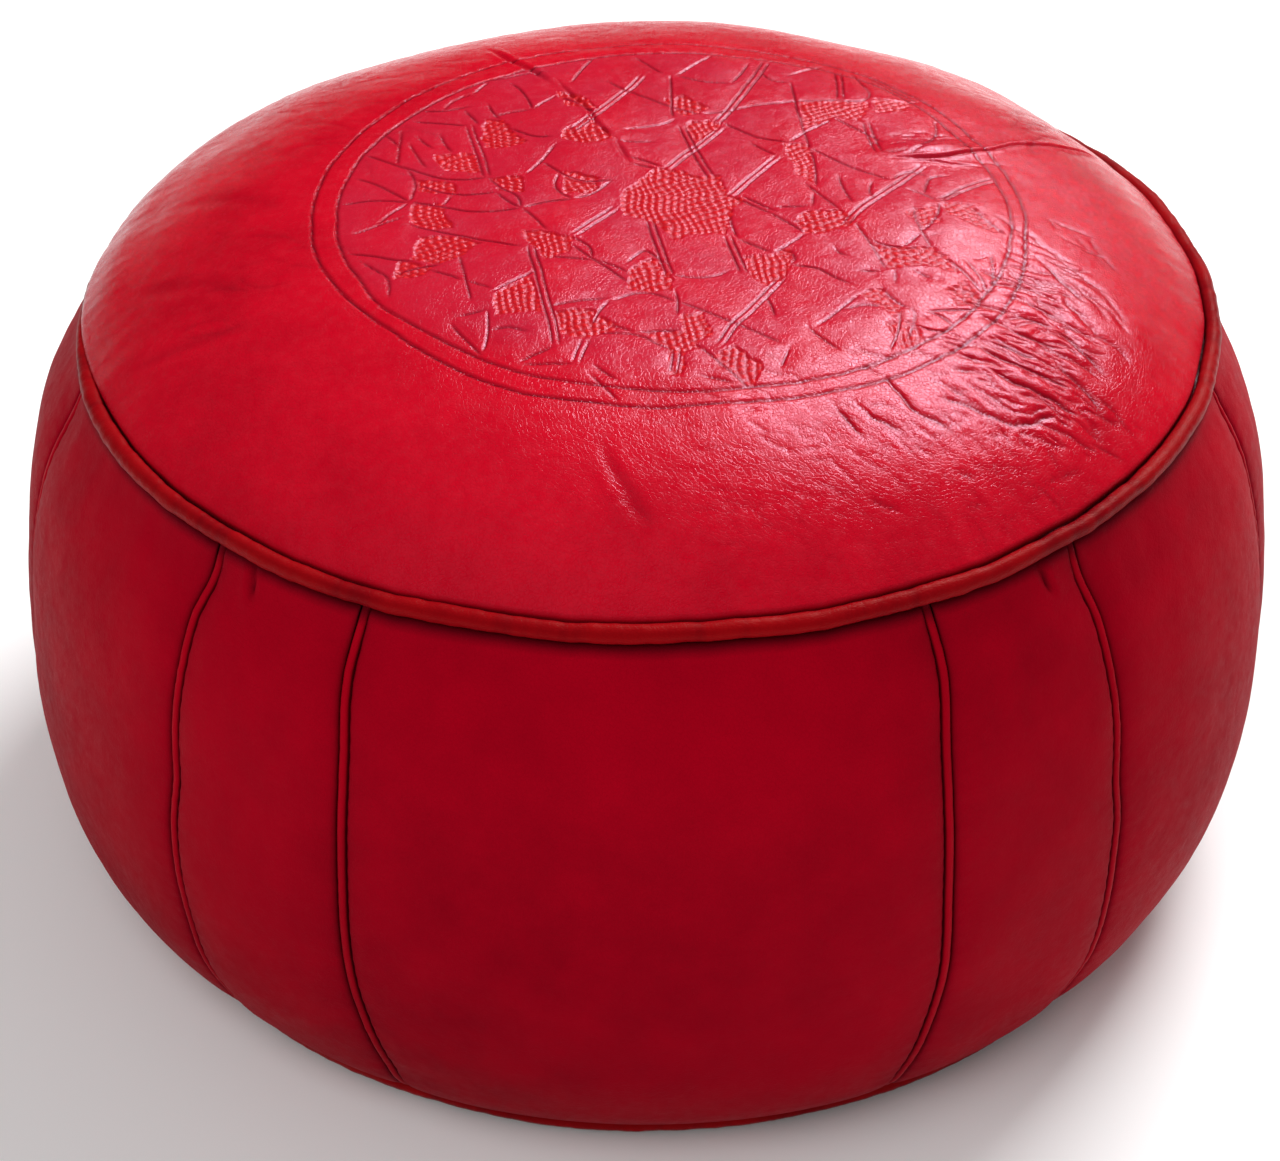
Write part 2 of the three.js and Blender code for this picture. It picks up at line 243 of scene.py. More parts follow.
class Look:
    """A material's node tree, built one node at a time."""

    def __init__(self, name):
        self.material = bpy.data.materials.new(name)
        self.material.use_nodes = True
        self.tree = self.material.node_tree
        self.shader = self.tree.nodes["Principled BSDF"]

    def node(self, kind, inputs=(), **settings):
        made = self.tree.nodes.new(kind)
        for key, value in settings.items():
            setattr(made, key, value)
        for key, value in dict(inputs).items():
            self.put(made.inputs[key], value)
        return made

    def put(self, socket, value):
        if isinstance(value, bpy.types.NodeSocket):
            self.tree.links.new(value, socket)
        else:
            socket.default_value = value

    def set(self, **inputs):
        for key, value in inputs.items():
            self.put(self.shader.inputs[key.replace("_", " ")], value)

    def coordinates(self, stretch=(1, 1, 1)):
        place = self.node("ShaderNodeTexCoord").outputs["Object"]
        if stretch == (1, 1, 1):
            return place
        return self.node("ShaderNodeMapping", {"Vector": place, "Scale": stretch}).outputs["Vector"]

    def noise(self, place, scale, detail, roughness=0.5, distortion=0.0):
        made = self.node("ShaderNodeTexNoise", {
            "Vector": place, "Scale": scale, "Detail": detail, "Roughness": roughness,
            "Distortion": distortion,
        })
        return made.outputs["Fac"]

    def voronoi(self, place, scale, feature="F1"):
        made = self.node("ShaderNodeTexVoronoi", {"Vector": place, "Scale": scale}, feature=feature)
        return made.outputs["Distance"]

    def math(self, operation, a, b, clamp=False):
        return self.node("ShaderNodeMath", {0: a, 1: b}, operation=operation, use_clamp=clamp).outputs[0]

    def spread(self, value, low, high, to_low=0.0, to_high=1.0):
        made = self.node("ShaderNodeMapRange", {
            "Value": value, "From Min": low, "From Max": high, "To Min": to_low, "To Max": to_high,
        })
        return made.outputs["Result"]

    def mix(self, share, a, b):
        made = self.node("ShaderNodeMix", data_type="RGBA")
        for key, value in (("Factor_Float", share), ("A_Color", a), ("B_Color", b)):
            self.put(next(s for s in made.inputs if s.identifier == key), value)
        return next(s for s in made.outputs if s.identifier == "Result_Color")

    def attribute(self, name):
        return self.node("ShaderNodeAttribute", attribute_name=name).outputs["Fac"]

    def bump(self, height, strength, distance, normal=None):
        inputs = {"Height": height, "Strength": strength, "Distance": distance}
        if normal is not None:
            inputs["Normal"] = normal
        return self.node("ShaderNodeBump", inputs).outputs["Normal"]


def leather(name, deep, body, bright, roughness, specular, tint, grain):
    """Goatskin: mottled colour, fine pebbled grain and pores, with shade painted dark into its creases."""
    look = Look(name)
    place = look.coordinates()
    drift = look.spread(look.noise(place, 7.0, 3.0, 0.55), 0.3, 0.7)
    cloud = look.spread(look.noise(place, 38.0, 5.0, 0.6), 0.32, 0.68)
    fleck = look.noise(place, 210.0, 4.0, 0.6)
    warped = look.node("ShaderNodeVectorMath", {
        0: place,
        1: look.node("ShaderNodeVectorMath", {
            0: look.node("ShaderNodeTexNoise", {"Vector": place, "Scale": 130.0}).outputs["Color"],
            "Scale": 0.004,
        }, operation="SCALE").outputs[0],
    }, operation="ADD").outputs[0]
    pebbles = look.voronoi(warped, 620.0, "DISTANCE_TO_EDGE")
    furrow = look.spread(pebbles, 0.0, 0.12)
    pores = look.voronoi(place, 1250.0)
    pore = look.spread(pores, 0.05, 0.4)

    colour = look.mix(drift, deep, body)
    colour = look.mix(look.math("MULTIPLY", cloud, 0.45), colour, bright)
    colour = look.mix(look.spread(furrow, 0.0, 1.0, 0.22 * grain, 0.0), colour, deep)
    rough = look.spread(fleck, 0.3, 0.7, roughness - 0.07, roughness + 0.09)
    stipple = look.attribute("stipple")
    # Overlaid colours: painted shade in creases, seams and recesses; the petals' darker tone, made pinker as
    # a painted sheen; the punched patches' own orange.
    tints_and_painted_light = (
        (look.attribute("petal_tone_and_sheen"), 0.7, (0.47, 0.012, 0.036, 1)),
        (look.attribute("painted_shade"), 0.75, (0.035, 0.0006, 0.004, 1)),
        (stipple, 0.55, (0.74, 0.012, 0.006, 1)),
    )
    for where, strength, tint_colour in tints_and_painted_light:
        colour = look.mix(look.math("MULTIPLY", where, strength, clamp=True), colour, tint_colour)
    rough = look.math("ADD", rough, look.math("MULTIPLY", stipple, 0.14))
    normal = look.bump(furrow, 0.35 * grain, 0.00022)
    normal = look.bump(pore, 0.2 * grain, 0.00012, normal)
    normal = look.bump(cloud, 0.25 * grain, 0.0006, normal)
    normal = look.bump(look.noise(place, 300.0, 2.0, 0.5), 0.3 * grain, 0.0006, normal)
    look.set(
        Base_Color=colour, Roughness=rough, Specular_IOR_Level=specular, Specular_Tint=tint, Normal=normal,
    )
    return look.material


def cloth(name, colour, scale, depth):
    """A plain weave."""
    look = Look(name)
    place = look.coordinates()
    waves = {"Vector": place, "Scale": scale, "Distortion": 0.6}
    warp, weft = (
        look.node("ShaderNodeTexWave", waves, bands_direction=way).outputs["Fac"] for way in ("X", "Y")
    )
    weave = look.math("MAXIMUM", warp, weft)
    dark = tuple(0.6 * c for c in colour[:3]) + (1,)
    blotch = look.noise(place, 45.0, 4.0)
    tone = look.mix(look.spread(blotch, 0.35, 0.65, 0.0, 0.35), colour, dark)
    tone = look.mix(look.spread(weave, 0.2, 0.9, 0.5, 0.0), tone, dark)
    look.set(Base_Color=tone, Roughness=0.9, Specular_IOR_Level=0.2, Normal=look.bump(weave, 0.6, depth))
    return look.material


def metal(name, colour, dark):
    """Lightly worn brass."""
    look = Look(name)
    place = look.coordinates()
    tarnish = look.spread(look.noise(place, 240.0, 4.0, 0.6), 0.42, 0.7)
    scuff = look.noise(look.coordinates((1, 14, 14)), 420.0, 2.0)
    look.set(
        Base_Color=look.mix(tarnish, colour, dark), Metallic=1.0,
        Roughness=look.spread(scuff, 0.3, 0.7, 0.26, 0.48), Normal=look.bump(scuff, 0.15, 0.00004),
    )
    return look.material


CLEAR = (1, 1, 1, 1)
ROSE = (1, 0.25, 0.3, 1)
TOP_LEATHER = leather(
    "top_leather", (0.42, 0.0008, 0.010, 1), (0.56, 0.0014, 0.014, 1), (0.66, 0.003, 0.018, 1),
    0.25, 0.36, (1, 0.60, 0.92, 1), 0.8,
)
SIDE_LEATHER = leather(
    "side_leather", (0.27, 0.0003, 0.008, 1), (0.37, 0.0004, 0.010, 1), (0.46, 0.0006, 0.012, 1),
    0.54, 0.02, ROSE, 0.8,
)
WELT_LEATHER = leather(
    "welt_leather", (0.31, 0.0004, 0.008, 1), (0.42, 0.0006, 0.010, 1), (0.50, 0.0008, 0.012, 1),
    0.5, 0.03, ROSE, 0.7,
)
PIPING_LEATHER = leather(
    "piping_leather", (0.20, 0.0006, 0.004, 1), (0.29, 0.0014, 0.004, 1), (0.38, 0.003, 0.005, 1),
    0.40, 0.06, (1, 0.45, 0.3, 1), 0.8,
)
BASE_LEATHER = leather(
    "base_leather", (0.15, 0.0006, 0.005, 1), (0.20, 0.001, 0.007, 1), (0.26, 0.002, 0.009, 1),
    0.62, 0.15, CLEAR, 1.0,
)
CORD = cloth("piping_cord", (0.62, 0.55, 0.38, 1), 900.0, 0.0002)
TAPE = cloth("zip_tape", (0.16, 0.006, 0.012, 1), 800.0, 0.00012)
COTTON = cloth("bag_cotton", (0.70, 0.62, 0.46, 1), 700.0, 0.0002)
THREAD = cloth("stitch_thread", (0.30, 0.004, 0.010, 1), 1600.0, 0.0001)
BRASS = metal("zip_metal", (0.60, 0.42, 0.17, 1), (0.30, 0.19, 0.07, 1))


def wadding():
    """Loose cotton wadding, in tufts."""
    look = Look("stuffing")
    place = look.coordinates()
    tufts = look.noise(place, 90.0, 8.0, 0.7, 1.5)
    look.set(
        Base_Color=look.mix(tufts, (0.55, 0.5, 0.42, 1), (0.85, 0.82, 0.75, 1)),
        Roughness=0.95, Specular_IOR_Level=0.15, Normal=look.bump(tufts, 0.8, 0.002),
    )
    return look.material


WADDING = wadding()

# ---------------- the tooled medallion, in plan millimetres

OUTER_RING = [
    (-137, -10), (-136, -30), (-133, -48), (-128, -62), (-122, -75), (-112, -90), (-100, -104), (-85, -120),
    (-70, -133), (-55, -143), (-42, -149), (-30, -152), (-10, -155), (5, -156), (25, -153.5), (40, -151),
    (55, -148), (78, -141), (100, -129), (110, -120), (120, -111), (128, -102), (136, -92), (143, -78),
    (149, -64), (153, -46), (155, -28), (157, -12), (156, 4), (154, 18), (149, 36), (141, 54), (130, 76),
    (112, 98), (95, 114), (78, 124), (58, 132), (40, 137), (0, 140), (-38, 133), (-70, 116), (-95, 94),
    (-114, 69), (-128, 40), (-135, 14),
]
INNER_RING = [
    (-127, -10), (-126, -25), (-124, -42), (-119, -58), (-114, -70), (-105, -88), (-95, -99), (-80, -113),
    (-65, -125), (-50, -135), (-30, -142), (-10, -145.5), (10, -147.5), (25, -146.5), (40, -143.5),
    (55, -140), (72, -134), (88, -126), (95, -120), (108, -110), (118, -100), (127, -88), (133, -77),
    (140, -64), (146, -45), (149, -30), (150, -15), (150, 0), (148, 12), (144, 28), (139, 40), (132, 58),
    (121, 77), (105, 97), (88, 111), (60, 122), (20, 128), (-20, 125), (-50, 113), (-80, 92), (-102, 66),
    (-117, 40), (-125, 12),
]

# Straight bands that are tooled as two lines with a ridge between them.
BANDS = [
    [(1.5, -27), (3.5, -40), (6.5, -55), (9.5, -70)],
    [(33, -40), (36, -54), (38.5, -67)],
    [(38, -8), (46, -15), (53, -21)],
    [(35, -8), (47, 12), (56, 26)],
    [(9, 14), (18, 29), (24, 38), (33, 53)],
    [(15.5, 53), (18.5, 38), (22.5, 24), (27, 8)],
    [(117, 22), (109, 10), (102, 0), (95, -9), (88, -18), (80, -32)],
    [(147, 17), (136, 7), (128, -1), (121, -9)],
    [(-12, -18), (-20, -29), (-29, -41)],
    [(54, -70), (46, -84), (35, -103), (28, -119)],
    [(-46, -50), (-43.5, -64), (-41, -78), (-38, -96), (-35, -112), (-34, -120)],
    [(54, 120), (49, 103), (44, 88), (37, 70), (30, 57)],
    [(-1, 102), (-10, 84), (-21, 63), (-33, 45)],
    [(86, 113), (86, 98), (85, 80)],
    [(95, 60), (96, 50), (97, 40), (99, 31)],
    [(-76, 55), (-72, 38), (-69, 22), (-66, 8)],
    [(12, -121), (11, -130), (10, -138)],
    [(-23, -117), (-25, -124), (-26, -131)],
]

# Single tooled lines.
LINES = [
    [(10, -69), (16, -70.5), (22, -71), (28, -69.5), (33, -66)],
    [(34, -22), (35, -32), (37, -41)], [(37, -42), (44, -47), (51, -52)],
    [(51, -52), (58, -45), (64.5, -37.5)], [(64.5, -37.5), (59, -30), (50, -20)],
    [(40, -13), (47, -17)], [(53, -16), (66, -16)], [(69, -5), (68, -16)],
    [(66, 3), (71, -5), (75, -12), (79, -19)], [(70, 32), (71, 14), (71, 0)],
    [(33, 57), (38, 52), (46, 44), (53, 41), (61, 38)], [(61, 38), (67, 47), (74, 54), (81, 62)],
    [(64, 98), (65.5, 82), (65, 72), (67, 58), (68, 48), (70, 33)],
    [(70, 33), (77, 27), (84, 20), (92, 14), (102, 7)], [(81, 62), (90, 54), (96, 47), (101, 41)],
    [(44, 39), (50, 32), (55, 27)], [(24, 65), (36, 68), (45, 72), (56, 75), (67, 79), (86, 80)],
    [(-17, 97), (-10, 88), (-4, 83), (3, 78), (11, 71), (24, 65)], [(11, 102), (11, 86), (11, 74), (12, 61)],
    [(14, 102), (20, 98), (27, 95), (38, 94)], [(-38, 35), (-41, 28), (-44, 20), (-50, 9)],
    [(-8, 24), (0, 20), (7, 16)], [(-7, 18), (-1, 16), (5, 14)], [(13, 59), (5, 53), (-9, 48)],
    [(-12, 38), (-4, 37), (4, 38)], [(-49, 68), (-45, 75), (-39, 82)], [(-76, 84), (-72, 92), (-69, 98)],
    [(-33, 96), (-29, 109), (-24, 123)], [(63, 105), (72, 113), (80, 119)],
    [(92, 112), (95, 102), (98, 93), (99, 86), (95, 80), (86, 79)],
    [(99, 108), (107, 98), (113, 91), (120, 83)], [(125, 67), (126, 58), (123, 46), (117, 38)],
    [(80, 10), (82, -3), (85, -14)], [(94, 6), (92, -4), (95, -10)],
    [(108, 0), (115, -4), (121, -10)], [(121, -10), (120, -20), (116, -29), (111, -36)],
    [(111, -36), (108, -41), (103, -47)], [(103, -47), (97, -47), (90, -43)],
    [(85, -29), (88, -39), (92, -52), (95.5, -64)], [(109.5, -15), (110, -27), (112, -38), (115, -47)],
    [(57, -61), (68, -63), (74, -69), (81, -75)], [(84, -65.5), (93, -65)], [(99, -63), (98, -74)],
    [(57, -50), (60, -57), (57, -61)], [(75, -47), (77, -52), (81, -55)], [(106, -63), (114, -69)],
    [(120, -52), (127, -62), (134, -76)], [(128, -52), (134, -66), (135, -76)], [(132, -52), (138, -48)],
    [(139, -46), (139, -58), (136, -75)], [(146, -30), (139, -22), (135, -12)],
    [(62, -105), (67, -112), (74, -120)], [(66, -104), (74, -94), (84, -82)],
    [(76, -93), (85, -89), (93, -90)], [(99, -91), (98, -104), (93, -118)],
    [(92, -76), (97, -85), (103, -91)], [(103, -89), (105, -92), (104, -99), (101, -109)],
    [(109, -91), (120, -88), (131, -86)], [(70, -135), (80, -130), (89, -127)],
    [(55, -119), (53, -126), (51, -132)],
    [(-51, -19), (-45, -27), (-40, -37)], [(-30, -49), (-21, -59), (-14, -67), (-7, -76)],
    [(-20, -60), (-12, -64), (-7, -69)], [(-39, -58), (-30, -59), (-20, -60)],
    [(-38, -95), (-30, -92), (-15, -88)], [(-13, -90), (-7, -85), (0, -83), (6, -85), (12, -90)],
    [(11, -81), (13, -89), (12, -100)], [(13, -90), (22, -96), (34, -104), (43, -110), (52, -117)],
    [(46, -83), (49, -90), (50, -99)], [(-14, -90), (-18, -97), (-21, -108)],
    [(-15, -105), (-9, -109), (-4, -111.5)], [(-4, -111.5), (5, -111), (13, -110)],
    [(-20, -113), (-9, -112), (-1, -114), (5, -120), (11, -122)], [(-47, -131), (-38, -131), (-27, -132)],
    [(-48, -130), (-42, -125), (-35, -121)], [(-20, -132), (-14, -138), (-10, -142)],
    [(-21, -138), (-15, -146), (-10, -153)], [(20, -120), (27, -129), (34, -138), (40, -146)],
    [(20, -138), (34, -142)], [(9, -62), (4, -56), (-1, -50), (-8, -62)],
    [(-30, -42), (-22, -50), (-21, -59)],
    [(-96, -31), (-84, -38), (-72, -42), (-62, -46), (-50, -50)], [(-119, -38), (-109, -31), (-99, -25)],
    [(-119, -52), (-108, -55), (-100, -59), (-91, -61)], [(-113, -59), (-107, -66), (-101, -73), (-100, -86)],
    [(-74, -57), (-72, -69), (-70, -80), (-68, -91)], [(-86, -68), (-78, -72), (-72, -77)],
    [(-71, -77), (-64, -80), (-60, -83)], [(-60, -85), (-53, -78), (-43, -69)],
    [(-61, -97), (-60, -110), (-62, -123)], [(-73, -101), (-67, -99), (-61, -97)],
    [(-75, -105), (-69, -115), (-62, -125)], [(-99, -70), (-90, -66), (-81, -64)],
    [(-88, 47), (-86, 39), (-82, 30)], [(-98, 46), (-94, 39), (-90, 34)],
    [(-105, 52), (-105, 36), (-104, 20)],
    [(-101, 40), (-97, 28), (-92, 17)], [(-79, 70), (-75, 62), (-72, 55)], [(-69, 74), (-66, 65), (-63, 59)],
    [(-98, 70), (-88, 69), (-76, 73)], [(-101, 60), (-90, 58), (-77, 55)],
    [(-59, 51), (-53, 46), (-47, 42), (-39, 42)],
    [(-100, 16), (-95, 4), (-97, -12)], [(-66, 8), (-60, -2), (-52, -8), (-51, -19)],
    [(-67, 62), (-58, 66), (-49, 68)], [(-44, 20), (-36, 10), (-26, 2), (-14, 4)],
    [(30, 125), (22, 114), (14, 102)], [(-5, 122), (2, 112), (8, 104)],
    [(-104, 20), (-88, 8), (-76, 6), (-66, 8)], [(-95, 4), (-86, -4), (-74, -7), (-62, -5)],
    [(-97, -12), (-84, -16), (-70, -22), (-51, -19)], [(-80, -7), (-82, -12), (-84, -16)],
    [(-122, 10), (-112, 4), (-104, -4), (-97, -12)], [(-125, -12), (-112, -9), (-97, -12)],
    [(-119, 30), (-110, 24), (-100, 16)], [(-113, 50), (-109, 44), (-105, 36)],
    [(-62, -5), (-57, -12), (-51, -19)], [(-36, 10), (-38, 2), (-37, -6), (-30, -12)],
    [(-30, -12), (-22, -8), (-14, 4)], [(-51, -19), (-42, -14), (-30, -12)],
    [(-39, 82), (-30, 74), (-22, 64)], [(-60, 96), (-54, 88), (-49, 68)], [(-88, 69), (-84, 80), (-76, 84)],
    [(50, 108), (55, 98), (64, 98)], [(38, 94), (42, 104), (46, 116)], [(-69, 98), (-58, 104), (-44, 108)],
    [(118, 12), (110, 18), (102, 7)], [(126, 14), (118, 12), (115, -4)], [(132, 2), (126, -2), (121, -10)],
    [(104, -100), (112, -104), (120, -100)], [(120, -100), (114, -92), (109, -91)],
    [(-109, -31), (-104, -20), (-97, -12)], [(-45, -112), (-52, -108), (-60, -110)],
]

# Patches between the petals that are filled with punched dots.
DOTTED = [
    [(-10, -8), (4, 14), (12, 14), (22, 8), (30, 10), (34, -6), (40, -10), (35, -21), (33, -38), (20, -38),
     (12, -43), (2, -28), (-10, -24)],
    [(39, -55), (51, -53), (57, -48), (58, -62), (54, -71), (48, -78), (41, -69)],
    [(64, -38), (61, -28), (66, -20), (80, -20), (86, -27), (80, -34), (72, -38)],
    [(90, -46), (103, -48), (115, -46), (120, -52), (126, -63), (112, -59), (97, -63)],
    [(-37, -98), (-20, -97), (-10, -108), (-14, -113), (-26, -116), (-34, -112)],
    [(-59, -86), (-46, -74), (-43, -79), (-41, -98), (-58, -101)],
    [(0, -112), (12, -111), (18, -112), (20, -121), (15, -124), (14, -138), (9, -138), (8, -122), (4, -118)],
    [(-91, -42), (-80, -41), (-66, -46), (-74, -58), (-82, -63), (-92, -60)],
    [(-50, -38), (-40, -38), (-29, -43), (-31, -55), (-40, -60), (-45, -50)],
    [(-8, -75), (-5, -64), (2, -57), (8, -64), (10, -72), (10, -82), (0, -82), (-7, -82)],
    [(-70, 60), (-61, 58), (-58, 48), (-50, 38), (-58, 33), (-69, 34)],
    [(-90, 28), (-71, 30), (-68, 12), (-84, 14)],
    [(18, 58), (32, 58), (30, 50), (22, 40), (17, 45)],
    [(58, 36), (69, 38), (70, 28), (70, 4), (64, 10)],
    [(66, 78), (99, 80), (93, 60), (82, 63), (78, 60), (68, 50)],
    [(-36, 46), (-24, 58), (-14, 40), (-24, 34), (-36, 38)],
    [(100, 84), (119, 83), (112, 72), (100, 68)],
    [(127, -66), (133, -80), (122, -85), (118, -75)],
    [(83, -82), (92, -76), (100, -89), (96, -96), (91, -88)],
    [(-96, -14), (-84, -14), (-78, -34), (-86, -37), (-96, -29)],
    [(122, -10), (135, -10), (146, -30), (135, -28), (124, -20)],
    [(-98, -60), (-84, -66), (-88, -72), (-100, -74)],
    [(13, -100), (22, -97), (26, -112), (20, -119), (14, -112)],
    [(24, -128), (34, -120), (44, -132), (40, -144)],
    [(-96, 8), (-80, 4), (-78, -6), (-94, -4)],
    [(-64, 6), (-52, 8), (-50, -6), (-60, -4)],
    [(-34, 12), (-20, 6), (-20, -6), (-34, -8)],
    [(8, 78), (16, 82), (28, 70), (16, 62)],
    [(-40, 86), (-28, 82), (-20, 68), (-34, 70)],
    [(106, -20), (118, -14), (120, -26), (112, -34)],
    [(92, -100), (104, -98), (108, -110), (98, -116)],
]

# Deep folds where the skin was once pinched, as lines with a depth and a width.
FOLDS = [
    ([(-72, 139), (-60, 122), (-52, 110), (-42, 95)], 1.0, 1.5),
    ([(-40, 99), (-34, 88), (-25, 67), (-20, 52), (-14, 40)], 0.8, 1.0),
    ([(-14, 41), (-11, 30), (-7, 17)], 0.8, 1.0),
    ([(104, 27), (115, 28), (124, 31), (133, 35), (141, 40), (149, 45), (157, 53), (168, 61), (184, 70),
      (202, 84)], 1.1, 0.9),
    ([(112, 25), (122, 27), (132, 26), (143, 27)], 0.7, 0.9),
    ([(-17, -172), (-8, -190), (1, -208)], 0.5, 2.4),
    ([(-208, -86), (-180, -89), (-150, -90)], 0.4, 3.0),
    ([(-205, -40), (-178, -52), (-160, -70)], 0.45, 3.6),
    ([(-196, 22), (-168, 8), (-150, -12)], 0.4, 4.2),
]

# The longest of the fine wrinkles at the right front.
WRINKLES = [
    [(143, -85), (150, -86), (161, -87)], [(140, -95), (150, -98), (163, -98)],
    [(132, -105), (142, -107), (153, -109)], [(128, -108), (138, -113), (150, -116), (164, -119)],
    [(119, -113), (129, -117)], [(130, -121), (142, -124), (153, -127), (167, -130)],
    [(116, -123), (127, -123)], [(113, -133), (122, -138)],
    [(109, -140), (120, -141), (130, -144), (140, -145), (150, -139), (156, -133)],
    [(149, -74), (158, -78), (165, -82)], [(153, -57), (161, -64)],
    [(90, -131), (94, -140), (99, -147), (115, -155)], [(70, -150), (75, -158), (81, -166)],
    [(80, -150), (86, -156), (96, -161)], [(160, -46), (168, -58), (176, -66)],
    [(160, -88), (170, -94), (178, -104)], [(157, -108), (168, -114), (176, -124)],
]

# ---------------- relief drawn on the plan


class Relief:
    """Strokes cut into a set of plan points: their depth, their lips and how far off the nearest is."""

    def __init__(self, x, y):
        self.x, self.y = x, y
        self.cut = np.zeros(x.shape)
        self.lip = np.zeros(x.shape)
        self.near = np.full(x.shape, 50.0)

    def stroke(self, line, depth, width, lip=0.0, taper=5.0, sharp=False, closed=False):
        reach = 5 * width + 6
        line = np.asarray(line, float)
        lengths = np.linalg.norm(np.diff(line, axis=0), axis=1)
        low, high = line.min(0) - reach, line.max(0) + reach
        chosen = np.flatnonzero(
            (self.x > low[0]) & (self.x < high[0]) & (self.y > low[1]) & (self.y < high[1])
        )
        x, y = self.x[chosen], self.y[chosen]
        distance, along = np.full(x.shape, 1e3), np.zeros(x.shape)
        done = 0.0
        for (xa, ya), (xb, yb), length in zip(line[:-1], line[1:], lengths):
            ux, uy = (xb - xa) / length, (yb - ya) / length
            t = np.clip((x - xa) * ux + (y - ya) * uy, 0, length)
            d = np.hypot(x - xa - t * ux, y - ya - t * uy)
            closer = d < distance
            distance, along = np.where(closer, d, distance), np.where(closer, done + t, along)
            done += length
        fade = 1.0 if closed else smooth_step(np.minimum(along, done - along), -0.3 * taper, taper)
        shape = np.exp(-distance / width) if sharp else bell(distance, width)
        self.cut[chosen] = np.maximum(self.cut[chosen], depth * shape * fade)
        raised = lip * bell(distance - 2.1 * width, 1.1 * width) * fade
        self.lip[chosen] = np.maximum(self.lip[chosen], raised)
        self.near[chosen] = np.minimum(self.near[chosen], distance + 3 * (1 - fade))

    def band(self, line, depth, width, spacing):
        """Two strokes side by side."""
        for side in (1, -1):
            self.stroke(shifted(np.asarray(line, float), side * spacing / 2), depth, width, 0.14 * depth)


def dome_height(radius):
    return DOME_RIM + DOME_RISE * (1 - np.clip(radius / DOME_RADIUS, 0, 1) ** DOME_POWER)


# How far in and down the top piping lies where the top bulges out over it.
HIDDEN_DEPTH = 2.5


def hidden_edge(azimuth):
    """1 at the left and the back, where the top bulges out over its piping, and 0 elsewhere."""
    signed = (azimuth + 180) % 360 - 180
    return smooth_step(np.where(signed < 0, -signed - 64, signed - 116), 0, 22)


def edge_sway(azimuth):
    """How far out the top piping, and the leather sewn to it, strays from a true circle."""
    return 1.1 * ring_noise(azimuth, 46, 15) * (1 - hidden_edge(azimuth))


def edge_wave(azimuth):
    """How far up the top piping, and the leather sewn to it, strays from a true circle."""
    wave = 1.5 * ring_noise(azimuth, 75, 11) + 0.55 * ring_noise(azimuth, 24, 12)
    return wave + 0.4 * ring_noise(azimuth, 9, 13) - HIDDEN_DEPTH * hidden_edge(azimuth)


def random_wrinkles(rng, count, centre, spread, angle, turn, length):
    """Short, slightly bent lines scattered about a place, mostly one way."""
    for _ in range(count):
        x, y = np.array(centre) + rng.normal(size=2) * spread
        heading = math.radians(angle + turn * rng.normal())
        bend = rng.normal() * 0.35
        size = length * rng.uniform(0.5, 1.5)
        steps = np.linspace(-0.5, 0.5, 5)
        yield np.stack([
            x + size * steps * math.cos(heading) - size * bend * steps**2 * math.sin(heading),
            y + size * steps * math.sin(heading) + size * bend * steps**2 * math.cos(heading),
        ], -1)


# Scattered wrinkles: how many, round which point, how far from it, at which angle and with how much turn, how
# long, how deep and how wide.
WRINKLE_GROUPS = [
    (80, (157, -92), (16, 28), -17, 14, 15, 0.66, 0.72),
    (96, (138, -132), (28, 20), -12, 18, 13, 0.56, 0.68),
    (110, (96, -160), (34, 14), -14, 17, 13, 0.3, 0.65),
    (40, (150, -100), (24, 30), 65, 26, 6, 0.35, 0.6),
    (30, (168, -48), (11, 22), -42, 18, 18, 0.5, 0.9),
    (30, (38, -192), (22, 10), -8, 14, 14, 0.2, 0.7),
    (26, (122, 40), (13, 8), 30, 25, 10, 0.6, 0.8),
    (14, (178, 96), (14, 20), 60, 20, 26, 0.4, 1.4),
    (20, (-150, 60), (22, 20), -30, 20, 26, 0.16, 1.4),
    (20, (-120, 120), (26, 16), -20, 20, 26, 0.16, 1.4),
    (12, (-168, -60), (14, 20), -20, 15, 22, 0.2, 1.2),
]
DOT_GAP, DOT_STEP = 3.1, 3.5


def warped_by(place, amount, size, seed):
    """Plan points moved about by noise, so that what is drawn on them wavers."""
    x, y = place[..., 0], place[..., 1]
    return x + amount * gradient_noise(place, size, seed), y + amount * gradient_noise(place, size, seed + 1)


